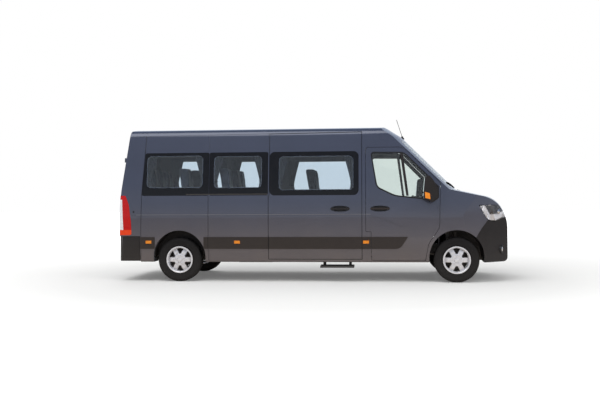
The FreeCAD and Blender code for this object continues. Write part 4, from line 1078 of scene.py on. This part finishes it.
@dataclass
class Wheels(Assembly):
    """Tyres with a cut tread, the trims on the rims, and guards at the arches' ends."""

    half: float = 0.1125
    rim: float = 0.206
    steps: int = 120
    bolts: int = 5
    grooves: Pair = (0.056, 0.019)
    groove_depth: float = 0.009
    places: dict[str, tuple[str, float, float]] = field(default_factory=lambda: {
        "front_right": ("wheel_fr", FRONT_AXLE, -0.875),
        "front_left": ("wheel_fl", FRONT_AXLE, 0.875),
        "rear_right": ("wheel_rr", REAR_AXLE, -0.865),
        "rear_left": ("wheel_rl", REAR_AXLE, 0.865)})

    def tyre(self) -> Piece:
        """A tyre about the Y axis, its outer side towards positive Y.

        Returns:
            The tyre, which every wheel gets a copy of.
        """
        out, deep = WHEEL_RADIUS, -self.groove_depth
        side = around((self.rim, self.half), (
            (0, -0.03), (0.012, -0.017), (0.03, -0.008), (0.034, -0.0055), (0.038, -0.008),
            (0.07, -0.002)))
        side += around((out, self.half), (
            (-0.052, -0.001), (-0.046, 0), (-0.04, -0.001), (-0.026, -0.009), (-0.007, -0.02),
            (-0.002, -0.028)))
        for middle in self.grooves:
            side += around((out, middle), (
                (-0.0005, 0.0055), (deep, 0.004), (deep, -0.004), (-0.0005, -0.0055)))
        outline = side + [(r, -y) for r, y in reversed(side)]
        piece = lathe("tyre_form", outline, steps=self.steps)
        step = math.tau / self.steps

        def in_groove(middle: Vector, normal: Vector) -> bool:
            """Whether a tread face lies in a cross groove."""
            turn = math.atan2(middle.z, middle.x) / step
            radius = math.hypot(middle.x, middle.z)
            return radius > out - 0.006 and abs(normal.y) < 0.3 and int(turn + 1000) % 4 == 0

        sink(piece, in_groove, 0.0012, -0.006, each=True)
        return smooth(piece, 32)

    def trim(self) -> Piece:
        """The bright ring, bolts and cap on a wheel's face.

        Returns:
            The trim, which every wheel gets a copy of.
        """
        face = self.half - 0.034
        ring = lathe("trim_ring", around((self.rim, self.half), (
            (-0.001, -0.018), (0.006, -0.013), (0.004, -0.006), (-0.008, -0.005),
            (-0.018, -0.013), (-0.021, -0.03), (-0.017, -0.03))), steps=96)
        cap = lathe("trim_cap", around((0, face), (
            (0.0001, -0.002), (0.034, -0.002), (0.036, 0.012), (0.031, 0.02), (0.015, 0.023),
            (0.0001, 0.0235))))
        collar = lathe("trim_collar", around((0, face), (
            (0.082, -0.003), (0.088, -0.001), (0.087, 0.004), (0.079, 0.006), (0.074, 0.002),
            (0.074, -0.003))), steps=64)
        bolt = disc("trim_bolt", (0, face + 0.006, 0.056), 0.0125, 0.018, sides=6)
        sink(bolt, facing(Axis.ACROSS.value), 0.003, 0.004)
        soften(bolt, 0.0012, 1)
        bolts = [copy(bolt, "trim_bolt_%d" % i, Matrix.Rotation(math.tau * i / self.bolts, 4, "Y"))
                 for i in range(1, self.bolts)]
        dish = lathe("trim_dish", around((0, face), (
            (0.104, -0.004), (0.104, 0.001), (0.122, 0.0035), (0.15, -0.004), (0.15, -0.008))),
            steps=96)
        drop(dish, lambda middle, normal: self.in_gap(middle))
        return smooth(join("trim_form", [ring, cap, collar, bolt, *bolts, dish]), 35)

    def shield(self) -> Piece:
        """A dark ring inside the rim, which closes the view past the brake disc."""
        return smooth(lathe("shield_form", [
            (0.153, -0.05), (0.17, -0.046), (0.183, -0.05), (0.183, -0.053), (0.17, -0.049),
            (0.153, -0.053)], steps=60), 35)

    def guards(self) -> None:
        """Black plates ahead of and behind the front wheels, which close the arches' ends."""
        for side in Side:
            for name, low, high in (
                    ("lip_guard_", (2.656, 0.62, 0.322), (2.668, 0.962, 0.4)),
                    ("sill_guard_", (1.728, 0.898, 0.338), (1.8165, 0.903, 0.527))):
                guard = panel(name + side.word, side.at(low), side.at(high),
                              lambda c, n: max(abs(n.x), abs(n.y)) > ALIGNED,
                              (0.008, -0.0008), 0.0006, 1)
                self.black(guard, angle=None)

    @staticmethod
    def in_gap(middle: Vector) -> bool:
        """Whether a place of the wheel's face lies over a gap between spokes."""
        turn = math.degrees(math.atan2(middle.z, middle.x)) % 60
        return abs(turn - 30) < 17

    def build(self) -> None:
        """Place the tyres, trims and shields of all four wheels, and the guards."""
        tyre, trim, shield = self.tyre(), self.trim(), self.shield()
        for place, (body, x, y) in self.places.items():
            turn = Matrix.Identity(4) if y > 0 else Matrix.Rotation(math.pi, 4, "Z")
            spot = Matrix.Translation((x, y, WHEEL_RADIUS)) @ turn
            tread = copy(tyre, "tread_" + place, spot)
            dress(tread, body, self.finishes.rubber)
            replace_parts(tread, "tyre_" + place)
            dress(copy(trim, "trim_" + place, spot), body, self.finishes.wheel)
            dress(copy(shield, "shield_" + place, spot), body, self.finishes.iron)
        remove(tyre, trim, shield)
        self.guards()


@dataclass
class Seats(Assembly):
    """One seat, its cushion and back puffed by cloth simulation, copied to every place."""

    top: float = 1.025
    half: float = 0.198
    tall: float = 0.62
    voxel: float = 0.0135
    puff: float = 0.012
    pressure: float = 4.0
    frames: int = 20
    pitch: float = 0.66
    first_row: float = -0.0815
    front_row: float = 0.8435
    rows: tuple[tuple[float, ...], ...] = (
        (0.205, 0.64), (-0.64, 0.205, 0.64), (-0.64, 0.205, 0.64), (-0.64, 0.205, 0.64),
        (-0.648, -0.216, 0.216, 0.648))
    front: tuple[float, ...] = (0.47, -0.64, -0.2)

    def pad(self, name: str, low: Point, high: Point, rule: Callable[[Vector], Vector],
            rounding: float) -> Piece:
        """A puffed pad that starts as a shaped block.

        Args:
            name: Name of the pad.
            low: Lowest corner of the block.
            high: Its highest corner.
            rule: Shapes the block's points.
            rounding: Radius of its edges.

        Returns:
            The pad.
        """
        piece = block(name, low, high)
        with editing(piece):
            bpy.ops.mesh.subdivide(number_cuts=9)
        move(piece, rule)
        soften(piece, rounding, 3)
        change(piece, "REMESH", mode="VOXEL", voxel_size=self.voxel)
        self.inflate(piece)
        change(piece, "SMOOTH", factor=0.5, iterations=4)
        return piece

    def inflate(self, piece: Piece) -> None:
        """Puff a pad by cloth simulation, holding each point near its place.

        Args:
            piece: The pad.
        """
        take(piece)
        before = [point.co.copy() for point in piece.data.vertices]
        cloth = piece.modifiers.new("Cloth", "CLOTH")
        cloth.settings.use_pressure = True
        cloth.settings.uniform_pressure_force = self.pressure
        cloth.settings.effector_weights.gravity = 0.0
        cloth.settings.quality = 5
        scene = bpy.context.scene
        for step in range(1, self.frames + 1):
            scene.frame_set(step)
        bpy.ops.object.modifier_apply(modifier=cloth.name)
        scene.frame_set(1)
        for point, rest in zip(piece.data.vertices, before):
            way = point.co - rest
            if way.length > self.puff:
                point.co = rest + way.normalized() * self.puff
        piece.data.update()

    def cushion_rule(self, spot: Vector) -> Vector:
        """Crown the cushion and raise its bolsters and front edge.

        Args:
            spot: A point of the block.

        Returns:
            Where the point goes.
        """
        side = abs(spot.y) / 0.2
        if spot.z > self.top - 0.05:
            spot.z += 0.012 * (1 - side ** 2) * 0.4 + 0.014 * max(0.0, side - 0.6) / 0.4 - 0.012
        if spot.x > 0.46:
            spot.z -= 0.012
        return spot

    def back_rule(self, spot: Vector) -> Vector:
        """Lean the back, form its bolsters, and draw it in at the neck of its head part.

        Args:
            spot: A point of the block.

        Returns:
            Where the point goes.
        """
        rise = (spot.z - self.top) / self.tall
        ahead = spot.x > 0.12
        spot.x -= 0.118 * rise + (0.012 if rise < 0.15 else 0.0)
        shoulder = min(max(rise - 0.55, 0.0) / 0.45, 1.0)
        neck = min(max(rise - 0.9, 0.0) / 0.12, 1.0)
        side = abs(spot.y) / 0.2
        spot.y *= 1.0 - 0.13 * shoulder - 0.22 * neck
        if ahead:
            spot.x += 0.016 * max(0.0, side - 0.55) / 0.45 - 0.006 * math.sin(max(rise, 0) * 6)
            spot.x += 0.016 * neck * (1.0 + 1.2 * side ** 2)
        return spot

    def seat(self) -> Piece:
        """The whole seat, with a map whose first number is the distance from its middle.

        Returns:
            The seat, which every place gets a copy of.
        """
        top, half = self.top, self.half
        cushion = self.pad("cushion_form", (0.2, -half, top - 0.108), (0.476, half, top - 0.012),
                           self.cushion_rule, 0.028)
        back = self.pad("back_form", (0.062, -half, top - 0.105), (0.166, half, top + 0.782),
                        self.back_rule, 0.045)
        piece = join("seat_form", [cushion, back])
        chart(piece, piece.data.uv_layers.new(name="cover"),
              lambda spot: (spot.y, spot.z + spot.x))
        return smooth(piece, 50)

    def build(self) -> None:
        """Put a seat in every place, and hide the imported seats."""
        form = self.seat()
        groups = [("passenger_seats", self.first_row - i * self.pitch, row)
                  for i, row in enumerate(self.rows)]
        groups.append(("front_seats", self.front_row, self.front))
        places = [(node, x, y) for node, x, row in groups for y in row]
        for number, (node, x, y) in enumerate(places, 1):
            seat = copy(form, "seat_%02d" % number, Matrix.Translation((x, y, 0)))
            dress(seat, "root", self.finishes.seat)
            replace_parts(seat, node)
        remove(form)


@dataclass
class Curtains(Assembly):
    """Gathered curtains, tied back at both ends of every passenger window."""

    panes: tuple[tuple[float, float, float, float], ...] = (
        (-2.6105, -1.7065, 1.481, 1.99), (-1.5295, -0.7675, 1.475, 1.978),
        (-0.4985, 0.6675, 1.435, 1.968))
    folds: int = 7
    waist: float = 0.27
    cells: tuple[int, int] = (70, 20)
    heading: float = 0.025
    foot: float = 0.055
    behind: float = 0.044
    off_skin: float = 0.0765
    wall: float = 0.0012
    tie_half: Point = (0.051, 0.0135, 0.012)

    def depth(self, height: float) -> float:
        """How far the curtains hang from the vehicle's middle at a height."""
        skin = 1.02 - max(0.0, height - 1.05) * 0.0625 - max(0.0, height - 1.45) * 0.0758
        return skin - self.off_skin

    def curtain(self, name: str, edge: float, sense: int, low: float, high: float,
                side: Side) -> Piece:
        """One curtain, pulled in above its foot.

        Args:
            name: Name of the piece.
            edge: Where the pane ends.
            sense: 1 if the pane lies ahead of that edge, -1 if behind.
            low: The pane's lower edge.
            high: Its upper edge.
            side: The side of the vehicle.

        Returns:
            The curtain.
        """
        top, foot = high + self.heading, low - self.foot
        tall = top - foot
        waist = foot + self.waist * tall
        piece = grid(name, (0.5, 0, 0.5), (1.0, 1.0), self.cells)
        chart(piece, piece.data.uv_layers.active, lambda spot: (spot.x * 0.4, spot.z * tall))

        def hang(spot: Vector) -> Vector:
            """Where a point of the flat cloth hangs."""
            across, height = spot.x, foot + spot.z * tall
            above = height > waist
            part = abs(height - waist) / (top - waist if above else waist - foot)
            wide = 0.086 + (0.115 if above else 0.03) * part ** 1.15
            wave = math.sin(across * self.folds * math.tau + 0.7 * part + edge * 9)
            x = edge + sense * (wide * across - self.behind) + 0.0022 * wave
            y = side.value * (self.depth(height) + (0.0052 + 0.0036 * part) * wave)
            return Vector((x, y, height))

        move(piece, hang)
        change(piece, "SOLIDIFY", thickness=self.wall, offset=0.0)
        outward(piece)
        self.cloth(piece)
        tie = self.tie(name + "_tie", edge - sense * 0.001, waist, side)
        return piece

    def tie(self, name: str, x: float, height: float, side: Side) -> Piece:
        """The band that ties a curtain.

        Args:
            name: Name of the piece.
            x: The middle of the gathered cloth.
            height: Where it is tied.
            side: The side of the vehicle.

        Returns:
            The band.
        """
        middle = Vector((x, side.value * self.depth(height), height))
        half = Vector(self.tie_half)
        return self.cloth(soften(block(name, middle - half, middle + half), 0.006, 3))

    def cloth(self, piece: Piece) -> Piece:
        """Dress a piece in the curtains' cloth."""
        return dress(piece, "root", self.finishes.curtain, 60)

    def build(self) -> None:
        """Hang both curtains of every window."""
        for side in Side:
            for number, (rear, front, low, high) in enumerate(self.panes):
                for word, edge, sense in (("rear", rear, 1), ("front", front, -1)):
                    name = "curtain_%s_%d_%s" % (side.word, number, word)
                    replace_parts(self.curtain(name, edge, sense, low, high, side), "curtains")


@dataclass
class FrontLamps(Assembly):
    """Headlamps with a unit behind the lens, and fog lamps low in the bumper."""

    shrink: float = 0.014
    setback: float = 0.022
    bulbs: tuple[Point, ...] = ((0.76, 1.085, 0.042), (0.665, 1.08, 0.034))
    fog_place: Pair = (0.735, 0.5)
    fog_turn: float = 0.5

    def build(self) -> None:
        """Make the lens, the unit, the projectors and the fog lamps."""
        lens = cad_copy("headlamps", "headlamp_lens")
        unit = copy(lens, "headlamp_unit", Matrix.Identity(4))
        change(unit, "DISPLACE", strength=-self.shrink, mid_level=0.0)
        dress(lens, "root", self.finishes.lens, 30)
        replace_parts(lens, "headlamps")
        dress(unit, "root", self.finishes.unit, 30)
        for side in Side:
            self.projectors(side)
            self.fog(side)

    def projectors(self, side: Side) -> None:
        """Two round projectors that stand out of the unit, under the lens.

        Args:
            side: The side of the vehicle.
        """
        pieces = []
        for number, (y, z, radius) in enumerate(self.bulbs):
            face = hit("headlamps", (OUTSIDE, side.value * y, z), (-1, 0, 0)).x - self.setback
            outline = [(radius * part, face - back) for part, back in (
                (0.02, 0.004), (0.4, 0.005), (0.75, 0.011), (0.78, 0.002), (1.0, 0.0),
                (1.06, 0.006), (1.06, 0.05), (0.02, 0.05))]
            pieces.append(lathe("projector_%d" % number, outline, Axis.FORWARD, 36,
                                (0, side.value * y, z)))
        dress(join("headlamp_projectors_" + side.word, pieces), "root",
              self.finishes.chrome, 40)

    def fog(self, side: Side) -> None:
        """A fog lamp in a black bezel on the bumper's corner.

        Args:
            side: The side of the vehicle.
        """
        y, z = side.value * self.fog_place[0], self.fog_place[1]
        spot = hit("front_bumper", (OUTSIDE, y, z), (-1, 0, 0))
        turn = (Matrix.Translation(spot) @ Matrix.Rotation(side.value * self.fog_turn, 4, "Z")
                @ Matrix.Translation(-spot))
        for word, slot, finish, rows in (
                ("bezel", "trim_black", self.finishes.cup, (
                    (0.046, 0.004), (0.058, 0.006), (0.07, -0.002), (0.072, -0.03),
                    (0.046, -0.03))),
                ("lens", "lamp_clear", self.finishes.chrome, (
                    (0.0005, 0.003), (0.025, 0.002), (0.044, -0.004), (0.0455, -0.02),
                    (0.0005, -0.02)))):
            piece = lathe("fog_%s_%s" % (word, side.word), around((0, spot.x), rows),
                          Axis.FORWARD, 40, (0, y, z))
            move(piece, lambda point: turn @ point)
            dress(piece, "root", finish, 40)


@dataclass
class Doors(Assembly):
    """Fittings on the doors: cups, sail panels, seals, mirrors, linings and stops."""

    grip_height: float = 1.142
    cup_half: Pair = (0.148, 0.046)
    tail_low: float = 0.572
    tail_high: float = 2.286

    def cup(self, name: str, node: str, body: str, x: float, side: Side) -> None:
        """A black oval cup that lines the hollow behind a grip.

        Args:
            name: Name of the cup.
            node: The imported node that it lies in.
            body: The body that it rides on.
            x: Its middle along the vehicle.
            side: The side of the vehicle.
        """
        (half, tall), level = self.cup_half, self.grip_height
        net = grid(name, (x, side.value * 1.3, level), (2 * half, 2 * tall + 0.004), (44, 16))
        drop(net, lambda c, n: abs((c.x - x) / half) ** 2.2 + abs((c.z - level) / tall) ** 2.2 > 1)
        press(net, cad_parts[node], Axis.ACROSS, 0.0025, 0.002)
        self.black(net, body, 50)

    def laid(self, name: str, corners: Sequence[Pair], cells: tuple[int, int], target: Piece,
             side: Side, gap: float, wall: float) -> Piece:
        """A thin panel between four corners, laid on the outside of a piece.

        Args:
            name: Name of the panel.
            corners: Rear low, front low, front high and rear high, as X and Z.
            cells: Number of faces along and up.
            target: The piece that it lies on.
            side: The side of the vehicle.
            gap: How far it stands off.
            wall: Its thickness.

        Returns:
            The panel.
        """
        net = grid(name, (0.5, side.value * 1.5, 0.5), (1.0, 1.0), cells)
        rear_low, front_low, front_high, rear_high = (Vector((x, 0, z)) for x, z in corners)

        def place(spot: Vector) -> Vector:
            """Where a point of the unit net goes."""
            low = rear_low.lerp(front_low, spot.x)
            high = rear_high.lerp(front_high, spot.x)
            return low.lerp(high, spot.z) + Vector((0, spot.y, 0))

        move(net, place)
        press(net, target, Axis.ACROSS, gap, wall)
        return smooth(net, 50)

    def window(self, side: Side) -> None:
        """The sail panel that carries the mirror, the quarter pane's bar and the glass's seal.

        Args:
            side: The side of the vehicle.
        """
        door, glass = "front_door_" + side.word, "front_glass_" + side.word
        body = "door_" + side.word
        skin = cad_skin(door, glass)
        for name, corners, cells in (
                ("sail_", ((1.8, 1.262), (1.974, 1.3), (1.978, 1.478), (1.8, 1.655)), (14, 26)),
                ("window_bar_", ((1.478, 1.338), (1.516, 1.336), (1.431, 2.002),
                                 (1.386, 2.002)), (3, 40))):
            laid = self.laid(name + side.word, corners, cells, skin, side, 0.003, 0.003)
            dress(laid, body, self.finishes.trim)
        remove(skin)
        seal = cad_copy(glass, "glass_seal_" + side.word)
        drop(seal, lambda c, n: n.y * side.value < 0.6)
        with editing(seal, lambda c, n: True):
            bpy.ops.mesh.inset(thickness=0.02)
            bpy.ops.mesh.delete(type="FACE")
        shift(seal, (0, side.value * 0.0035, 0))
        change(seal, "SOLIDIFY", thickness=0.004, offset=-1.0)
        self.black(seal, body)

    def mirror(self, side: Side) -> None:
        """A rounded mirror housing with two panes on its rear face and a repeater below.

        Args:
            side: The side of the vehicle.
        """
        body, node = "door_" + side.word, "mirror_" + side.word
        housing = cad_copy(node, "housing_" + side.word)
        change(housing, "REMESH", mode="VOXEL", voxel_size=0.007)

        def slim(spot: Vector) -> Vector:
            """Draw the upper front edge back, and the outer face in by its rounding."""
            part = min(max((spot.z - 1.43) / 0.2, 0.0), 1.0)
            spot.x -= 0.5 * part * max(spot.x - 1.78, 0.0)
            spot.y = side.value * (1.1 + (abs(spot.y) - 1.1) * 0.955)
            return spot

        move(housing, slim)
        change(housing, "SMOOTH", factor=0.5, iterations=16)
        dress(housing, body, self.finishes.trim, 60)
        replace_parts(housing, node)
        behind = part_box(node)[0].x - 0.3
        for word, low, high in (("main", 1.39, 1.6), ("wide", 1.295, 1.375)):
            net = grid("mirror_%s_%s" % (word, side.word),
                       (behind, side.value * 1.146, (low + high) / 2), (0.13, high - low),
                       (14, 16), Axis.FORWARD)
            press(net, housing, Axis.FORWARD, 0.002, 0.002)
            dress(net, body, self.finishes.mirror)
        corners = ((1.755, 1.3), (1.832, 1.285), (1.822, 1.372), (1.748, 1.395))
        repeater = self.laid("repeater_" + side.word, corners, (12, 12), housing, side, 0.001,
                             0.003)
        dress(repeater, body, self.finishes.amber)

    def rail(self) -> None:
        """The sliding door's rail in the lower edge of the window band."""
        skin = cad_skin("side_right", "window_bands")
        corners = ((-1.97, 1.368), (-0.675, 1.368), (-0.675, 1.384), (-1.97, 1.384))
        rail = self.laid("sliding_rail", corners, (60, 2), skin, Side.RIGHT, 0.003, 0.005)
        dress(rail, "root", self.finishes.iron)
        remove(skin)

    def stop(self, side: Side) -> None:
        """A round rubber stop for an open rear door.

        Args:
            side: The side of the vehicle.
        """
        spot = hit("side_" + side.word, (-2.817, side.value * OUTSIDE, 1.104),
                   (0, -side.value, 0))
        outline = [(radius, spot.y + side.value * height) for radius, height in (
            (0.0004, -0.002), (0.0135, -0.002), (0.0145, 0.004), (0.011, 0.009),
            (0.0004, 0.0095))]
        self.black(lathe("door_stop_" + side.word, outline, Axis.ACROSS, 28,
                         (spot.x, 0, spot.z)))

    def seals(self) -> None:
        """Rubber lips between the rear doors, and seals over all hinged doors."""
        low, high = self.tail_low, self.tail_high
        levels = [low + (high - low) * i / 30 for i in range(31)]
        known = [(z, hit("rear_door_left", (-OUTSIDE, 0.03, z), (1, 0, 0)).x)
                 for z in levels if z < 1.4 or z > 2.0]

        def surface(height: float) -> float:
            """Where the doors' outer face is at a height."""
            for (z0, x0), (z1, x1) in zip(known, known[1:]):
                if height <= z1:
                    return x0 + (x1 - x0) * (height - z0) / (z1 - z0)
            return known[-1][1]

        for side in Side:
            lip = grid("door_lip_" + side.word, (0.014, side.value * 0.0037, (low + high) / 2),
                       (0.02, high - low), (3, 40))
            move(lip, lambda spot: spot + Vector((surface(spot.z), 0, 0)))
            change(lip, "SOLIDIFY", thickness=0.005, offset=0.0)
            self.black(soften(lip, 0.0012), "rear_door_" + side.word, None)
            strip = block("door_top_seal_" + side.word, side.at((0.86, 0.85, 2.0825)),
                          side.at((1.4, 0.874, 2.0995)))
            self.black(soften(strip, 0.004, 3))
        seal = grid("opening_seal", (0.073, 0.0, 2.294), (1.6, 0.05), (60, 6), Axis.FORWARD)
        shift(seal, (surface(high), 0, 0))
        change(seal, "SOLIDIFY", thickness=0.014, offset=0.0)
        self.black(soften(seal, 0.005, 3), angle=50)

    def lining(self, side: Side) -> None:
        """Inner panels of the hinged doors, with an arm rest and a pocket on the front one.

        Args:
            side: The side of the vehicle.
        """
        inward, forward, up = (0, -side.value, 0), Axis.FORWARD.value, Axis.UP.value
        for name, body, low, high, way, border in (
                ("door_lining_", "door_", (0.93, 0.934, 0.605), (1.7, 0.96, 1.215), inward,
                 (0.03, -0.005)),
                ("arm_rest_", "door_", (1.08, 0.88, 0.93), (1.5, 0.94, 0.985), inward,
                 (0.012, 0.006)),
                ("door_pocket_", "door_", (1.05, 0.893, 0.61), (1.6, 0.94, 0.74), up,
                 (0.007, -0.11)),
                ("rear_lining_", "rear_door_", (-2.986, 0.11, 0.67), (-2.957, 0.7, 1.29),
                 forward, (0.035, -0.006))):
            piece = panel(name + side.word, side.at(low), side.at(high), facing(way), border,
                          0.004)
            dress(piece, body + side.word, self.finishes.cabin, 40)

    def grip(self) -> None:
        """The small black grip of the rear doors."""
        x = hit("rear_door_left", (-OUTSIDE, 0.09, 1.1), (1, 0, 0)).x
        piece = panel("rear_grip", (x - 0.024, 0.02, 1.06), (x + 0.004, 0.05, 1.2),
                      lambda c, n: abs(n.x) > ALIGNED, (0.008, -0.003), 0.005, 3)
        self.black(piece, "rear_door_left")

    def build(self) -> None:
        """Fit all doors."""
        self.cup("cup_sliding", "sliding_door", "root", 0.4595, Side.RIGHT)
        for side in Side:
            self.cup("cup_front_" + side.word, "front_door_" + side.word,
                     "door_" + side.word, 1.0765, side)
            self.window(side)
            self.mirror(side)
            self.lining(side)
        self.rail()
        for side in Side:
            self.stop(side)
        self.seals()
        self.grip()


@dataclass
class Plates(Assembly):
    """Blank number plates in their seats, and the lamp over the rear one."""

    half: Pair = (0.26, 0.055)
    gap: float = 0.0005
    wall: float = 0.004

    def plate(self, name: str, body: str, centre: Point, way: int) -> None:
        """One blank plate.

        Args:
            name: Name of the piece.
            body: The body that it rides on.
            centre: Middle of the seat.
            way: 1 if it faces forward, -1 if it faces back.
        """
        (x, y, z), (wide, tall) = centre, self.half
        low = (x + way * self.gap, y - wide, z - tall)
        high = (x + way * (self.gap + self.wall), y + wide, z + tall)
        piece = block(name, low, high)
        sink(piece, facing((way, 0, 0)), 0.005, 0.0)
        sink(piece, lambda c, n: n.x * way > ALIGNED and abs(c.y - y) < 0.01, 0.0015, -0.0012)
        dress(soften(piece, 0.0008), body, self.finishes.white)

    def build(self) -> None:
        """Fit both plates and the lamp."""
        self.plate("plate_front", "root", (3.1035, 0.0, 0.7475), 1)
        self.plate("plate_rear", "rear_door_left", (-3.0325, 0.41, 0.885), -1)
        hood = panel("plate_lamp", (-3.058, 0.29, 0.963), (-3.03, 0.53, 0.995),
                     facing((0, 0, -1)), (0.006, -0.005), 0.006, 3)
        self.black(hood, "rear_door_left")


@dataclass
class Cabin(Assembly):
    """Dashboard with its instruments, and the steering wheel."""

    wheel_centre: Point = (1.5272, 0.47, 1.17)
    wheel_radius: float = 0.2
    rim_radius: float = 0.0155
    tilt: float = 55.0
    dial_places: Point = (0.38, 0.47, 0.56)
    vent_places: tuple[float, ...] = (-0.78, -0.14, 0.14, 0.79)

    def plastic(self, piece: Piece, angle: float) -> Piece:
        """Dress a piece in the cabin's plastic."""
        return dress(piece, "root", self.finishes.cabin, angle)

    def steering(self) -> None:
        """A ring with a soft rim, three spokes and a padded middle."""
        turns = [math.tau * i / 14 for i in range(14)]
        ring = lathe("wheel_ring", [
            (self.wheel_radius + self.rim_radius * math.cos(a), self.rim_radius * math.sin(a))
            for a in turns], Axis.UP, 64)
        hub = lathe("wheel_hub", [
            (0.0005, 0.012), (0.045, 0.009), (0.068, -0.004), (0.062, -0.024), (0.034, -0.06),
            (0.034, -0.2), (0.0005, -0.2)], Axis.UP)
        arm = panel("wheel_arm", (0.045, -0.02, -0.016), (0.192, 0.02, -0.004),
                    facing(Axis.UP.value), (0.008, -0.003), 0.004)
        arms = [copy(arm, "wheel_spoke_%d" % i, Matrix.Rotation(turn, 4, "Z"))
                for i, turn in enumerate((math.pi / 2, 1.5 * math.pi, 0.0))]
        remove(arm)
        piece = join("steering_wheel_form", [ring, hub, *arms])
        stand = (Matrix.Translation(self.wheel_centre)
                 @ Matrix.Rotation(-math.radians(self.tilt), 4, "Y"))
        move(piece, lambda spot: stand @ spot)
        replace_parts(self.plastic(piece, 40), "steering_wheel")

    def dashboard(self) -> None:
        """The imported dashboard, softened, with binnacle, dials and vents."""
        board = self.plastic(soften(cad_copy("dashboard", "dashboard_form"), 0.012), 30)
        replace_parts(board, "dashboard")
        rearward = facing((-1, 0, 0))
        self.plastic(panel("instrument_hood", (1.66, 0.28, 1.24), (1.86, 0.66, 1.335), rearward,
                           (0.014, -0.03), 0.012, 3), 40)
        for number, y in enumerate(self.dial_places):
            dial = disc("dial_%d" % number, (1.687, y, 1.288), 0.034, 0.006, Axis.FORWARD, 32)
            sink(dial, rearward, 0.005, -0.002)
            dress(dial, "root", self.finishes.screen)
        for number, y in enumerate(self.vent_places):
            vent = panel("vent_%d" % number, (1.655, y - 0.06, 1.12), (1.72, y + 0.06, 1.19),
                         rearward, (0.008, -0.012), 0.004)
            dress(vent, "root", self.finishes.cup, 40)

    def build(self) -> None:
        """Fit the cabin."""
        self.steering()
        self.dashboard()


@dataclass(frozen=True)
class FloorFinish(Finish):
    """A pale floor that keeps the vehicle's shadow and fades into the background."""

    name: str = "studio_floor"
    colour: Colour = (0.8, 0.8, 0.79)
    reflected: Colour = (0.78, 0.68, 0.58)
    fade: tuple[float, float, float, float] = (4.0, 16.0, 0.12, 1.0)

    def fill(self, work: Nodes) -> None:
        """Add the nodes of the finish."""
        path = work.add("ShaderNodeLightPath").outputs
        distance = work.vector("LENGTH", {0: work.start.outputs["Object"]}).outputs[1]
        work.result({
            "Base Color": work.blend(path["Is Glossy Ray"], self.colour, self.reflected),
            "Roughness": 0.9, "Specular IOR Level": 0.1, "Emission Color": WHITE,
            "Emission Strength": work.times(path["Is Camera Ray"],
                                            work.span(distance, *self.fade))})


@dataclass
class Studio:
    """Floor, light and camera."""

    place: Point = (1.035, -13.398, 1.315)
    yaw: float = -5.52
    pitch: float = -0.16
    roll: float = -0.318
    lens: float = 48.0

    def camera(self) -> None:
        """A camera at the photograph's viewing angle."""
        yaw, pitch, roll = (math.radians(v) for v in (self.yaw, self.pitch, self.roll))
        ahead = Vector((math.sin(yaw) * math.cos(pitch), math.cos(yaw) * math.cos(pitch),
                        math.sin(pitch)))
        level = Vector((math.cos(yaw), -math.sin(yaw), 0.0))
        upright = level.cross(ahead)
        right = math.cos(roll) * level + math.sin(roll) * upright
        up = -math.sin(roll) * level + math.cos(roll) * upright
        clear()
        bpy.ops.object.camera_add()
        eye = bpy.context.object
        eye.data.lens = self.lens
        eye.data.sensor_width = 36.0
        eye.data.clip_end = 500.0
        eye.matrix_world = (Matrix.Translation(self.place)
                            @ Matrix((right, up, -ahead)).transposed().to_4x4())
        bpy.context.scene.camera = eye

    def floor(self) -> None:
        """The floor, which isn't part of the vehicle."""
        clear()
        bpy.ops.mesh.primitive_plane_add(size=120.0, location=(0, 0, 0))
        ground = named("studio_ground")
        ground.data.materials.append(FloorFinish().make())

    def lamps(self) -> None:
        """Soft lamps over the vehicle and beside the camera; only the key one is reflected."""
        rows = (("key", (-3.0, -6.5, 11.5), (0.0, 0.0, 1.2), 12.0, 820.0),
                ("fill", (8.0, -8.0, 5.0), (0.5, 0.0, 1.0), 8.0, 300.0),
                ("back", (-3.0, 9.0, 9.0), (0.0, 0.0, 1.5), 12.0, 400.0))
        for name, spot, aim, size, power in rows:
            clear()
            bpy.ops.object.light_add(type="AREA", location=spot)
            lamp = bpy.context.object
            lamp.name = "lamp_" + name
            lamp.data.shape = "DISK"
            lamp.data.size = size
            lamp.data.energy = power
            lamp.visible_glossy = name == "key"
            lamp.rotation_euler = (Vector(spot) - Vector(aim)).to_track_quat("Z", "Y").to_euler()

    def world(self) -> None:
        """Pale background for the camera and through glass, and a cooler sky in reflections."""
        world = bpy.data.worlds.new("studio_world")
        bpy.context.scene.world = world
        world.use_nodes = True
        work = Nodes(world.node_tree, end="Background")
        path = work.add("ShaderNodeLightPath").outputs
        seen = work.math("MAXIMUM", path["Is Camera Ray"], path["Is Transmission Ray"])
        rise = work.parts(work.start.outputs["Generated"])[2]
        sky = work.blend(work.span(rise, 0.02, 0.5), (0.72, 0.77, 0.86), (0.2, 0.27, 0.42))
        shown = work.blend(path["Is Glossy Ray"], WHITE, sky)
        bright = work.math("MAXIMUM", seen, path["Is Glossy Ray"])
        work.result({"Color": work.blend(seen, shown, WHITE),
                     "Strength": work.span(bright, 0.0, 1.0, 0.55, 1.0)})

    def build(self) -> None:
        """Set up the studio."""
        self.camera()
        self.floor()
        self.lamps()
        self.world()
        bpy.context.scene.view_settings.view_transform = "Standard"


def main() -> None:
    """Build every sub-assembly in order."""
    logging.basicConfig(level=logging.WARNING)
    finishes = Finishes()
    assemblies = (Shell, Wheels, FrontLamps, Doors, Plates, Cabin, Seats, Curtains)
    for part in (Studio(), *(assembly(finishes) for assembly in assemblies)):
        part.build()
        LOG.info("built %s", type(part).__name__)


if __name__ == "__main__":
    main()
